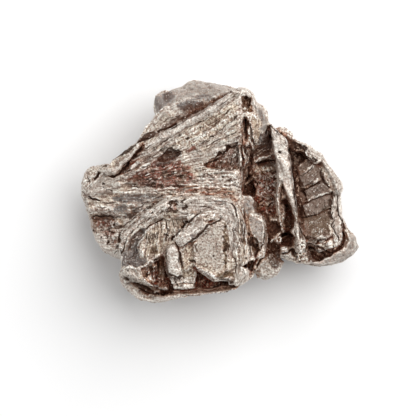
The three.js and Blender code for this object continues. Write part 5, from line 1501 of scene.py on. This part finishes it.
# %% The right-hand block: the plates in the window
for outline in [
    [(16, 3.6), (18, 5), (19, 5.4), (19.8, 3.4), (20.2, 2.3), (18.2, 1.5), (16.2, 1)],
    [(17.2, 0.4), (20.2, 2), (22, 0.4), (21.9, -0.2), (20, -0.9), (17.2, -1.8)],
    [(16.6, -2.7), (19, -2), (22, -0.5), (22, -2.4), (20, -3.6), (18, -4.8), (16.2, -5.2)],
    [(16.4, -6), (18.4, -5.2), (20.6, -4), (22, -3), (22.2, -8.6), (19, -9.8), (17.4, -9.7)],
]:
    flatten(outline, 0.6, 0.4)
    pocks(outline, 10, 323, 0.3, 0.16, 0.1, 50, 0.6)
    flecks(outline, 8, 324, 0.5, 0.14, 0.08, 50, 0.6)
WINDOW = [(15.2, 7.4), (18.4, 6.6), (20, 4.6), (22.2, 0.4), (22.3, -6), (22, -9), (18.6, -10), (16.6, -9.6),
          (15.7, -5), (15.2, 1)]
stain(WINDOW, 0.7, dusk=0.7, calm=0.4)
pebbled(WINDOW, 0.36, 0.05, 127, 0.6, 0.55)
stain([(16.4, -5), (22, -3), (22.2, -9), (18.6, -10)], 0.7, tan=0.5, slate=0.5)
flecks([(17, -5.6), (21.4, -4), (21.6, -8.4), (18.4, -9.4)], 18, 339, 1.6, 0.14, 0.05, 52, 0.35)
pocks([(19.6, -3.4), (22, -2.4), (22, -7.4), (20.4, -6)], 12, 340, 1.6, 0.16, 0.1, 100, 0.5)
for stroke in [
    ([(15.6, 3.1), (16.6, 3.4), (17.6, 4.2), (18.4, 5)], 0.18, 0.4, 0.8),
    ([(16, 0.6), (17.2, 0.5), (18.6, 1.3), (20.2, 2.1)], 0.24, 0.7, 1),
    ([(16.2, 0.2), (16.9, -0.3), (17.1, -1.2)], 0.36, 0.8, 1),
    ([(16.6, -2.5), (18, -2.1), (20, -1.2), (22.2, -0.3)], 0.2, 0.6, 0.9),
    ([(15.8, -5.4), (18, -5), (20.2, -3.9), (21.2, -3.4)], 0.18, 0.5, 0.9),
    ([(15.8, -6), (16.2, -7.6), (17, -9.4)], 0.26, 0.6, 0.9),
    ([(20.1, 4.2), (20, 3.2), (20.5, 2.3), (21.4, 1.3), (22.2, 0.4)], 0.22, 0.6, 1),
    ([(22.2, -1.4), (22, -3), (22.1, -4.6), (22.6, -6)], 0.22, 0.6, 1),
    ([(22.7, -6.2), (22.4, -7), (22.8, -8), (23.4, -9.2)], 0.2, 0.6, 0.9),
    ([(22.6, -0.4), (23, -1.2)], 0.2, 0.5, 0.9),
    ([(18.9, -10.3), (20.4, -9.8), (21.6, -9.4)], 0.24, 0.6, 1),
    ([(17.2, 6.2), (18, 6.7), (18.6, 6)], 0.2, 0.5, 0.9),
    ([(18.6, 6.9), (19.2, 6.3), (18.8, 5.8)], 0.24, 0.6, 1), ([(17, 8.8), (17.4, 8)], 0.16, 0.4, 0.8),
    ([(16.2, 9.6), (16.8, 8.8), (17.6, 8.6)], 0.18, 0.4, 0.8), ([(19.8, 4.8), (20.4, 4.2)], 0.18, 0.4, 0.8),
    ([(21.4, 2.6), (22, 2)], 0.16, 0.3, 0.7), ([(18, 7.6), (18.8, 7.2)], 0.18, 0.4, 0.7),
    ([(23.5, -0.6), (23.6, -3), (23.9, -5), (24.6, -6.6), (25.5, -7.8)], 0.2, 0.6, 0.9),
]:
    split(*stroke)
for line in [
    [(15.5, 4.8), (16.6, 5.8), (17.8, 6.3)], [(16.6, 3.7), (17.6, 4.6), (18.6, 5.4)],
    [(16.1, 0.95), (17.4, 1), (18.6, 1.7), (20, 2.5)], [(16.6, -2.1), (18, -1.8), (20, -0.9), (22, -0.1)],
    [(17.1, -2.9), (17.7, -2.6)], [(18.8, -10), (20, -9.4), (21.6, -9), (22.3, -8.9)],
    [(15.5, 3.4), (15.6, 2)], [(15.7, 1.2), (15.9, -0.2)], [(15.9, -1.2), (16.2, -2)],
    [(15.6, 8.7), (16.6, 8.2), (17.4, 7.4), (17.2, 6.8)],
]:
    ridge(line, 0.18, 0.25, 1)
smear([(19.7, -6.4), (19.1, -8), (18.5, -9.4)], 0.3, pale, 0.5)
tell("window")

# %% The right-hand block: the groove round the window
stain([(13.8, 9.4), (16.2, 8.4), (17.2, 7), (15.4, 5), (14.6, 3), (14.2, 6)], 0.6, dusk=1)
stain([(12.6, 11.8), (14.2, 10.8), (17, 8.8), (17.8, 7), (15.6, 5), (14, 6), (13.2, 9.6)], 0.6, slate=1)
stain([(12.6, 11.8), (14.2, 10.8), (15.6, 9.6), (14, 8.6), (13.2, 9.6)], 0.6, dusk=0.6)
pebbled([(14.2, 10.4), (17, 8.8), (17.8, 7), (15.6, 5), (14.6, 3), (14.2, 6)], 0.8, 0.4, 117)
for x, y in [
    (14.7, 7.6), (15.4, 8.2), (16.3, 8.1), (15, 6.6), (16, 7), (14.9, 5.5), (16.6, 9.2), (15.4, 9.4),
]:
    ridge([(x - 0.25, y - 0.1), (x + 0.25, y + 0.1)], 0.36, 0.4, 1)
press([(14.6, 6), (15.5, 4), (16, -2), (16.6, -9), (16, -9.6), (15.3, -4), (14.7, 0)], 0.4, 0.5, dusk=1)
stain([(13.8, 9.4), (15.2, 8), (15.6, 4), (16.3, 0), (16.6, -5), (16.6, -9), (15.6, -5), (14.6, 0),
       (14.2, 4)], 0.5, slate=1)
for x, y in [
    (15.3, 5.6), (14.8, 6.6), (15.6, 6.4), (14.9, 4.6), (15.2, 2.6), (15.4, 1.2), (15.6, -0.6), (15.8, -2.6),
]:
    ridge([(x, y - 0.25), (x + 0.1, y + 0.25)], 0.2, 0.4, 1)
tell("groove")

# %% The right-hand block: its rims
# painted shade: the rib's right flank in slate grey
stain([(13.5, 9), (14.3, 9), (15, 4), (15.3, 0), (15.7, -4.4), (15, -4.4), (14.6, 0), (14.1, 4)],
      0.5, slate=1)
pebbled([(15.8, 9.6), (19.4, 7.4), (20.2, 5.2), (18.8, 5.8), (17.4, 7.2), (15.2, 9.2)], 0.6, 0.15, 105)
RIM = [(14.6, 10.8), (18, 9.4), (21.6, 6), (24.4, 2.4), (25, 0.4), (24.4, -6), (23.6, -6), (22.9, 0.8),
       (20.6, 4.6), (18, 7.4), (15, 9.8)]
stain(RIM, 0.5, calm=1)
STRIP = [(22.3, 0), (23.5, -0.6), (23.6, -4), (24, -9), (23.2, -10), (22.6, -8), (22.3, -4)]
stain(STRIP, 0.5, calm=0.8)
pocks(STRIP, 16, 337, 0.6, 0.2, 0.3, 80)
pebbled([(20, 4.8), (21.6, 3.6), (22.6, 1), (21.4, 1), (20.2, 3)], 0.7, 0.25, 113)
LIP = [(25.4, -8), (28, -9.6), (27.8, -12), (24, -14.8), (21, -16), (17, -15.6), (17.6, -14), (21, -13.6),
       (24.4, -12), (25.8, -10)]
stain(LIP, 0.6, calm=1)
stain(LIP, 0.8, slate=0.44)
GROOVE = [(24.1, -5.4), (24.9, -7), (25.6, -8.4), (25.8, -9.6), (25, -11.2), (23, -12), (21.8, -12.8),
          (22.4, -11.8), (24, -10.8), (24.3, -8.6)]
press(GROOVE, 0.3, 0.4, dusk=1)
stain(GROOVE, 0.4, rust=0.5)
UNDER = [(17, -10.2), (19, -10.6), (21.4, -11.6), (22.4, -12.4), (21.2, -13.6), (18.4, -14.2), (17.4, -13.8)]
press(UNDER, 0.2, 0.4, dusk=1)
stain(UNDER, 0.4, rust=0.6)
flecks(UNDER, 14, 325, 0.5, 0.14, 0.2, -20, 0.7)
for line in [
    [(17.4, -10.8), (19.4, -11.4), (21.8, -12.6)], [(17.6, -11.8), (19.6, -12.4), (21, -13.2)],
    [(18, -10.9), (20.6, -11.7)],
]:
    ridge(line, 0.16, 0.25, 0.6)
for line in [
    [(17.4, -10.3), (19, -10.8), (20.8, -11.6), (22.3, -12.4)], [(17.6, -11.3), (19.6, -11.9), (21.4, -12.9)],
]:
    split(line, 0.22, 0.5, 1)
press([(20, -9.9), (22.2, -9.2), (22.4, -11.6), (21.2, -11)], -0.2, 0.4, pale=0.6)
press([(22.5, -9.4), (23.8, -9), (23.6, -11), (22.7, -12)], -0.2, 0.4, pale=0.5)
split([(22.4, -9.6), (22.8, -10.6), (22.5, -11.8)], 0.2, 0.5, 0.9)
for outer_rim in [
    [(-26.2, -5.8), (-25.8, -8.6), (-24.4, -11), (-22.6, -12.4), (-20.6, -13)],
    [(-19.8, -16), (-19.2, -18.2), (-17.6, -19.9), (-15.4, -21.3), (-13, -21.7), (-10, -21.1), (-7, -20.5),
     (-3, -20.2), (1, -19.7), (4, -18.2)],
    [(3, 20.8), (5, 20.6), (6.6, 18.8), (8.8, 16.8), (9.6, 14.6)],
    [(6.8, -16.4), (8, -17.6), (9.8, -17.6), (11.2, -16.2), (12, -14.6)],
]:
    smear(outer_rim, 0.9, calm, 1)
    smear(outer_rim, 0.5, pale, 0.6)
tell("whole top")

# %% [markdown]
# ## The sides and the underside
#
# Where a break crosses the plates instead of following one, it is stepped: every plate ends a little
# further out or in than its neighbour, with a dark seam between. The plates lie in four directions.
# One is the large face, and the others stand at 70.5 degrees to it and to each other. A stretch of the
# side shows the steps of one direction, and noise chooses which. Broad shallow dents from the melting
# in flight go over all of it.

# %% The four plate directions
def tilted(steepness, towards):
    """A unit vector that leans from straight up by steepness degrees, towards degrees round from +X."""
    lean, turn = math.radians(steepness), math.radians(towards)
    return np.array([math.sin(lean) * math.cos(turn), math.sin(lean) * math.sin(turn), math.cos(lean)])


directions = [np.array([-0.214, -0.142, 0.967]), tilted(70.5, 3), tilted(70.5, 123), tilted(70.5, 243)]
sideways = 1 - ease(facing[:, 2], 0.25, 0.6)
sideways *= ease(place[:, 2], 0, 1.2)  # the resting facet stays flat


def steps(axis, pitch, seed):
    """Height of the plate that each place belongs to, -1 to 1, and how near the seam it is."""
    along = place @ directions[axis] / pitch
    along = along + 0.25 * noise(place / 4, seed) + 0.1 * noise(place / 1.2, seed + 1)
    plate = np.floor(along)
    share = along - plate
    before, after = ((np.sin(index * 12.9898 + seed) * 43758.5453) % 1 * 2 - 1
                     for index in (plate - 1, plate))  # heights that look random but are the plates' own
    seam = np.minimum(share, 1 - share) * pitch
    blend = ease(share, 0, 0.16)
    return before * (1 - blend) + after * blend, 1 - ease(seam, 0, 0.14)


# %% Stepped breaks and dents
BROAD, FINE = 1.9, 0.62  # mm from plate to plate
fields = np.stack([noise(place / 8, 201 + axis) for axis in range(4)])
fields[0] += 0.15  # the plates of the large face run furthest round
chosen = np.exp(14 * (fields - fields.max(0)))
chosen /= chosen.sum(0)
relief, seams = np.zeros(len(place)), np.zeros(len(place))
for axis in range(4):
    end_on = 1 - np.abs(facing @ directions[axis]) ** 2  # plates seen on edge show their steps
    broad, broad_seam = steps(axis, BROAD, 300 + axis)
    fine, fine_seam = steps(axis, FINE, 320 + axis)
    relief += chosen[axis] * end_on * (0.34 * broad + 0.11 * fine - 0.2 * broad_seam)
    seams += chosen[axis] * end_on * np.maximum(0.9 * broad_seam, 0.35 * fine_seam)
    stretch += sideways * chosen[axis] * end_on * 0.35 * fine
dents = np.zeros(len(place))
for x, y, z, wide, deep in [
    (-24, -9, 6, 5, 0.9), (-26, 0, 7, 4, 0.7), (-18, 9, 8, 5, 0.9), (-8, 17, 7, 5, 0.8), (6, 17, 9, 4, 0.7),
    (15, 8, 8, 5, 0.9), (24, 0, 9, 5, 0.9), (22, -12, 7, 4, 0.7), (8, -15, 6, 4, 0.7), (-4, -19, 6, 5, 0.9),
    (-14, -19, 7, 4, 0.7), (-12, 2, 1, 6, 1), (9, -4, 1, 6, 1), (4, 9, 2, 5, 0.8), (-17, -9, 2, 5, 0.8),
]:
    reach = np.linalg.norm(place - np.array([x, y, z]), axis=1) / wide
    dents = np.maximum(dents, deep * (1 - ease(reach, 0.1, 1.1)))
place += facing * (sideways * (relief - dents))[:, None]
dusk = np.maximum(dusk, sideways * seams * (0.8 - 0.55 * ease(place[:, 2], 11, 15)))
print("stepped", int((sideways > 0.5).sum()), "vertices")

# %% [markdown]
# ## Grain
#
# Up close the iron is rough everywhere, like coarse sandpaper, from a weathering crust that has half
# come off. The coarser part of that roughness is real relief, and the finest is left to the finish.

# %% Grain
GRAIN = [(1.5, 0.10), (0.75, 0.09), (0.45, 0.07)]  # size and height, mm
rough = sum(height * noise(place / size, 70 + i) for i, (size, height) in enumerate(GRAIN))
rough *= ease(place[:, 2], 0, 0.6) * (1 - 0.6 * calm) * (0.3 + 0.7 * upward)
place += facing * rough[:, None]
place[:, 2] = np.maximum(place[:, 2], 0)
write_skin()
print("grain up to", round(float(np.abs(rough).max()), 2), "mm")

# %% [markdown]
# ## Fewer triangles where nobody looks
#
# The strokes need all their vertices, the underside doesn't. What was carved is stored on the mesh
# first, so that it is carried along when edges collapse.

# %% Notes on the mesh
def note(name, values, lowest=0):
    layer = block.data.attributes.get(name) or block.data.attributes.new(name, "FLOAT", "POINT")
    layer.data.foreach_set("value", np.clip(values, lowest, 1).astype(np.float32))


for name, values in {"streak": stretch, "crack": crack, "rub": rub, "pale": pale, "rust": rust,
                     "slate": slate, "tan": tan, "dusk": dusk, "calm": calm, "laid": laid}.items():
    note(name, values)
note("rift", rift, -1)
note("vein", vein, -1)
grooves = block.data.attributes.new("lay", "FLOAT_VECTOR", "POINT")
grooves.data.foreach_set("vector", lay.astype(np.float32).ravel())
print(len(block.data.attributes), "attributes on the mesh")

# %% Thinning
MOST = 197000  # triangles to ask for
LOOKED_AT = 9  # mm: what faces up above this height keeps all its vertices
nothing_selected()
block.select_set(True)
bpy.context.view_layer.objects.active = block
bpy.ops.object.mode_set(mode="EDIT")
bpy.ops.mesh.select_mode(type="VERT")
bpy.ops.mesh.select_all(action="SELECT")
bpy.ops.mesh.quads_convert_to_tris(quad_method="BEAUTY", ngon_method="BEAUTY")
bpy.ops.mesh.select_all(action="DESELECT")
bpy.ops.object.mode_set(mode="OBJECT")
top_side = (facing[:, 2] > 0.15) & (place[:, 2] > LOOKED_AT)
block.data.vertices.foreach_set("select", ~top_side)
total = len(block.data.polygons)
corners = np.empty(total * 3, np.int32)
block.data.loops.foreach_get("vertex_index", corners)
free = int((~top_side[corners.reshape(-1, 3)]).all(axis=1).sum())
bpy.ops.object.mode_set(mode="EDIT")
bpy.ops.mesh.decimate(ratio=(MOST - total + free) / free)
bpy.ops.object.mode_set(mode="OBJECT")
print("of", total, "triangles", free, "were free, now", len(block.data.polygons))

# %% [markdown]
# ## Light and dirt notes
#
# Two more things are measured from the finished shape. Deep places see little sky: they keep their
# rust and dirt and get a warm painted shade, while open sides weather evenly and their rims get a
# painted highlight. Proud edges stand out from the metal around them: they are rubbed bare and bright.

# %% Shut-in places
place, facing = read_skin()
tree = BVHTree.FromPolygons([Vector(point) for point in place.tolist()],
                            [tuple(face.vertices) for face in block.data.polygons])
RAYS, FAR = 20, 9.0  # rays from each vertex, and mm past which a wall no longer shuts in
OFF = 0.12  # mm from the skin at which a ray starts, so that it misses its own triangle
generator = np.random.default_rng(5)
spread = generator.normal(size=(RAYS, 3))
spread /= np.linalg.norm(spread, axis=1)[:, None]
shut = np.zeros(len(place))
for vertex, (point, normal) in enumerate(zip(place, facing)):
    start = Vector(point + normal * OFF)
    for way in spread * 0.92 + normal:
        gap = tree.ray_cast(start, Vector(way), FAR)[3]
        if gap is not None:
            shut[vertex] += (1 - gap / FAR) / RAYS
note("shut_in", shut * 1.25)
leaning = facing[:, 2]
# painted highlight: open rims that turn from the top to the sides are made paler in the finish
rim_highlight = (1 - ease(shut, 0.06, 0.2)) * (1 - ease(leaning, 0.25, 0.6)) * ease(leaning, -0.3, 0.1)
note("rim_highlight", rim_highlight)  # open rims that turn from the top to the sides
outer = (1 - ease(shut, 0.1, 0.3)) * (1 - ease(leaning, 0.1, 0.6))
note("outer", outer)  # open sides
note("belly", outer * (1 - ease(place[:, 2], 10, 14)))  # and their lower part
print("shut in on average", round(float(shut.mean()), 2))

# %% Proud edges
edges = np.empty(len(block.data.edges) * 2, np.int32)
block.data.edges.foreach_get("vertices", edges)
one, other = edges.reshape(-1, 2).T
linked = np.bincount(edges, minlength=len(place))[:, None]
worn = place.copy()
WEARS = 10  # rounds of smoothing that take the edges off
for _ in range(WEARS):
    total = np.zeros_like(worn)
    np.add.at(total, one, worn[other])
    np.add.at(total, other, worn[one])
    worn = 0.5 * worn + 0.5 * total / linked
proud = ((place - worn) * facing).sum(axis=1)
note("proud", 0.5 + proud * 3)
print("edges stand out by up to", round(float(proud.max()), 2), "mm")

# %% [markdown]
# ## The finish
#
# One material covers the stone, built in layers as its history laid them down: bare nickel-iron,
# streaks along the striae, patches of slate-grey and rust-brown crust, pale rubbed plates and edges,
# dirt in cracks and deep places, and over everything a salt-and-pepper grain. Painted light is laid
# in as well: brown painted shade mixed with the stains, a painted highlight on open rims, a warm
# painted shade in shut-in places and pale painted glints in the grain.

# %% Helpers for the finish
iron = bpy.data.materials.new("weathered_iron")
iron.use_nodes = True
nodes, wires = iron.node_tree.nodes, iron.node_tree.links
shader = nodes["Principled BSDF"]


def colour(red, green, blue):
    """A screen colour (0-255) as the linear colour that a shader wants."""
    return tuple(((c / 255 + 0.055) / 1.055) ** 2.4 for c in (red, green, blue)) + (1,)


def feed(socket, value):
    if isinstance(value, bpy.types.NodeSocket):
        wires.new(value, socket)
    else:
        socket.default_value = value


def noted(name):
    source = nodes.new("ShaderNodeAttribute")
    source.attribute_name = name
    return source.outputs["Fac"]


# %% Textures in millimetres
place_mm = nodes.new("ShaderNodeMapping")
place_mm.inputs["Scale"].default_value = (1000, 1000, 1000)
wires.new(nodes.new("ShaderNodeTexCoord").outputs["Object"], place_mm.inputs["Vector"])


def clouds(size, detail=3.0, rough=0.55):
    """Noise with lumps of a size in mm, from 0 to 1."""
    source = nodes.new("ShaderNodeTexNoise")
    wires.new(place_mm.outputs["Vector"], source.inputs["Vector"])
    source.inputs["Scale"].default_value = 1 / size
    source.inputs["Detail"].default_value = detail
    source.inputs["Roughness"].default_value = rough
    return source.outputs["Fac"]


def spots(size):
    """Scattered cells of a size in mm: the distance from a cell's middle and the cell's own random value."""
    source = nodes.new("ShaderNodeTexVoronoi")
    wires.new(place_mm.outputs["Vector"], source.inputs["Vector"])
    source.inputs["Scale"].default_value = 1 / size
    own = nodes.new("ShaderNodeSeparateColor")
    wires.new(source.outputs["Color"], own.inputs["Color"])
    return source.outputs["Distance"], own.outputs["Red"]


# %% Sums, ramps and blends
def maths(operation, first, second=0.0):
    node = nodes.new("ShaderNodeMath")
    node.operation = operation
    feed(node.inputs[0], first)
    feed(node.inputs[1], second)
    return node.outputs["Value"]


plus, minus, times, larger = (partial(maths, name) for name in ("ADD", "SUBTRACT", "MULTIPLY", "MAXIMUM"))


def ramp(value, start, end, low=0.0, high=1.0):
    """low before start, high after end, with a soft change between."""
    node = nodes.new("ShaderNodeMapRange")
    node.interpolation_type = "SMOOTHSTEP"
    feed(node.inputs["Value"], value)
    feed(node.inputs["From Min"], start)
    feed(node.inputs["From Max"], end)
    feed(node.inputs["To Min"], low)
    feed(node.inputs["To Max"], high)
    return node.outputs["Result"]


def blend(below, above, share, mode="MIX"):
    node = nodes.new("ShaderNodeMix")
    node.data_type = "RGBA"
    node.blend_type = mode
    feed(node.inputs[0], share)
    feed(node.inputs[6], below)
    feed(node.inputs[7], above)
    return node.outputs[2]


# %% Grain that runs with the striae
broad, middle, fine = clouds(6, 3), clouds(0.9, 4, 0.7), clouds(0.4, 2, 0.7)
laid_share = noted("laid")


def ruled(across, along, detail=2.0):
    """Noise drawn out along each face's own striae: lines across mm wide and along mm long, from 0 to 1."""
    grooves = nodes.new("ShaderNodeAttribute")
    grooves.attribute_name = "lay"
    scaled = nodes.new("ShaderNodeMapping")
    scaled.inputs["Scale"].default_value = (1 / across, 1 / along, 1)
    wires.new(grooves.outputs["Vector"], scaled.inputs["Vector"])
    source = nodes.new("ShaderNodeTexNoise")
    wires.new(scaled.outputs["Vector"], source.inputs["Vector"])
    source.inputs["Scale"].default_value = 1
    source.inputs["Detail"].default_value = detail
    return source.outputs["Fac"]


lines = ruled(0.3, 3.2, 3.0)
grain = plus(fine, times(minus(lines, fine), times(laid_share, 0.5)))
hair = times(ramp(maths("ABSOLUTE", minus(ruled(1, 14, 1), 0.5)), 0.03, 0), laid_share)
hair = times(hair, ramp(middle, 0.4, 0.6))

# %% Bare metal with streaks
BARE, WARM, PALE = colour(194, 179, 166), colour(190, 169, 147), colour(225, 214, 203)
SLATE, ASH, OLIVE = colour(104, 94, 89), colour(172, 162, 153), colour(104, 80, 57)
BROWN, RED, CREAM = colour(112, 83, 66), colour(138, 70, 54), colour(190, 168, 148)
# the first brown here is the colour of painted shade and of stains
STAIN_AND_SHADE, DIRT = colour(84, 58, 45), colour(60, 40, 29)
calm_share = noted("calm")
lively = times(ramp(calm_share, 0, 1, 1, 0.6), ramp(noted("outer"), 0, 1, 1, 0.5))
coat = blend(BARE, WARM, ramp(broad, 0.46, 0.64, 0, 0.6))
coat = blend(coat, WARM, times(ramp(noted("tan"), 0.1, 0.8), 0.8))
streak = plus(noted("streak"), times(minus(grain, 0.5), 0.7))
streak = plus(0.5, times(minus(streak, 0.5), lively))
coat = blend(coat, BROWN, ramp(streak, 0.42, 0.1, 0, 0.65))
coat = blend(coat, PALE, ramp(streak, 0.6, 0.95, 0, 0.6))
coat = blend(coat, ASH, times(larger(calm_share, noted("outer")), 0.75))

# %% Crusts, rubbed plates and edges
broken = plus(minus(middle, 0.5), times(minus(grain, 0.5), 1.4))
broken = times(broken, lively)
ragged = plus(1, times(broken, 2.2))


def patch(name, start, end, most=1.0):
    """Where a tint is laid on, with speckled edges."""
    return ramp(times(noted(name), ragged), start, end, 0, most)


slate_share, rust_share = patch("slate", 0.3, 0.75), patch("rust", 0.35, 0.65)
dusk_share, pale_share = patch("dusk", 0.3, 0.7), patch("pale", 0.25, 0.9, 0.85)
belly_smoke = ramp(clouds(7, 4, 0.6), 0.5, 0.62, 0, 0.75)
belly_rust = ramp(clouds(4.3, 5, 0.65), 0.56, 0.66, 0, 0.8)
slate_share = larger(slate_share, times(noted("belly"), belly_smoke))
rust_share = larger(rust_share, times(noted("belly"), belly_rust))
_, grit_luck = spots(0.42)
luck = plus(grit_luck, times(minus(ramp(lines, 0.35, 0.65), grit_luck), times(laid_share, 0.6)))
crust = blend(BROWN, RED, ramp(clouds(2.2, 4, 0.65), 0.36, 0.54))
crust = blend(crust, DIRT, ramp(luck, 0.42, 0.3, 0, 0.7))
crust = blend(crust, CREAM, ramp(luck, 0.76, 0.86, 0, 0.7))
coat = blend(coat, SLATE, times(slate_share, 0.85))
coat = blend(coat, crust, times(rust_share, 0.85))
coat = blend(coat, PALE, pale_share)
proud_value, shut_value = noted("proud"), noted("shut_in")
edge_share = ramp(proud_value, 0.6, 0.85, 0, 0.7)
hollow_share = ramp(proud_value, 0.44, 0.25, 0, 0.5)
coat = blend(coat, PALE, edge_share)
# painted highlight on the open rims
coat = blend(coat, PALE, times(noted("rim_highlight"), 0.35))
coat = blend(coat, BROWN, hollow_share)
deep_share = ramp(plus(shut_value, times(broken, 0.5)), 0.38, 0.8, 0, 0.75)
kept_clean = larger(larger(noted("slate"), calm_share), times(noted("tan"), 0.8))
kept_clean = larger(kept_clean, noted("pale"))
deep_share = times(deep_share, ramp(kept_clean, 0, 1, 1, 0.2))
coat = blend(coat, crust, deep_share)
coat = blend(coat, SLATE, times(slate_share, 0.6))
# brown painted shade and stains, olive where tan
coat = blend(coat, blend(STAIN_AND_SHADE, OLIVE, noted("tan")), times(dusk_share, 0.8))

# %% Drawn lines
def drawn(distance, strength, widest, reach):
    """1 on a line noted as a distance with a sign, 0 off it. The line is as wide as it is strong."""
    off = maths("ABSOLUTE", noted(distance))
    inside = minus(times(noted(strength), widest), off)
    return ramp(plus(inside, times(broken, 0.12)), -0.04, reach)


rub_share = drawn("vein", "rub", 0.26, 0.12)
coat = blend(coat, PALE, times(rub_share, 0.8))
crack_share = drawn("rift", "crack", 0.27, 0.09)
crack_share = larger(crack_share, times(times(hair, 0.7), lively))
coat = blend(coat, DIRT, times(crack_share, 0.92))

# %% Salt and pepper
near_pit, pit_luck = spots(0.55)
pits = times(ramp(near_pit, 0.36, 0.2), ramp(pit_luck, 0.6, 0.64))
near_glint, glint_luck = spots(0.38)
glints = times(ramp(near_glint, 0.42, 0.25), ramp(glint_luck, 0.78, 0.82))
coat = blend(coat, DIRT, times(times(pits, 0.6), lively))
glint_share = minus(0.6, times(crack_share, 0.55))
# the pale specks are painted glints
coat = blend(coat, PALE, times(times(glints, glint_share), lively))
grain_value = ramp(grain, 0.39, 0.61, 0.34, 1.6)
grain_value = plus(1, times(minus(grain_value, 1), lively))
shade = nodes.new("ShaderNodeCombineColor")
for channel, strength in zip(shade.inputs, (0.8, 1.05, 1.15)):  # dark specks are redder than bright ones
    wires.new(maths("POWER", grain_value, strength), channel)
coat = blend(coat, shade.outputs["Color"], 1.0, "MULTIPLY")
# painted shade colour: the coat is made warmer where the skin is shut in, standing in for warm light in
# hollows
WHITE, WARM_SHADE = colour(255, 255, 255), colour(255, 228, 210)  # rust lends its warmth to the light in hollows
coat = blend(coat, blend(WHITE, WARM_SHADE, ramp(shut_value, 0.2, 0.75)), 1.0, "MULTIPLY")
wires.new(coat, shader.inputs["Base Color"])

# %% Sheen, metal and fine relief
matt = larger(larger(rust_share, dusk_share), larger(deep_share, crack_share))
wires.new(ramp(matt, 0, 1, 0.5, 0.85), shader.inputs["Roughness"])
wires.new(ramp(matt, 0, 1, 0.5, 0.15), shader.inputs["Specular IOR Level"])
wires.new(ramp(larger(pale_share, edge_share), 0, 1, 0.15, 0.4), shader.inputs["Metallic"])
relief = plus(times(grain, 0.7), times(clouds(0.22, 2, 0.5), 0.2))
relief = minus(relief, times(pits, 0.35))
relief = minus(relief, times(crack_share, 0.5))
relief = plus(relief, times(middle, 0.4))
bump = nodes.new("ShaderNodeBump")
bump.inputs["Distance"].default_value = 0.35 * MM
bump.inputs["Strength"].default_value = 0.8
wires.new(relief, bump.inputs["Height"])
wires.new(bump.outputs["Normal"], shader.inputs["Normal"])
block.data.materials.clear()
block.data.materials.append(iron)
print(len(nodes), "nodes in the finish")

# %% [markdown]
# ## Handing over
#
# The skin is shaded smooth, takes the place of the solid, and rides on its one body.

# %% Finished piece
bpy.ops.object.shade_smooth()
block.name = "meteorite_skin"
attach(block, "root")
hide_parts("meteorite")
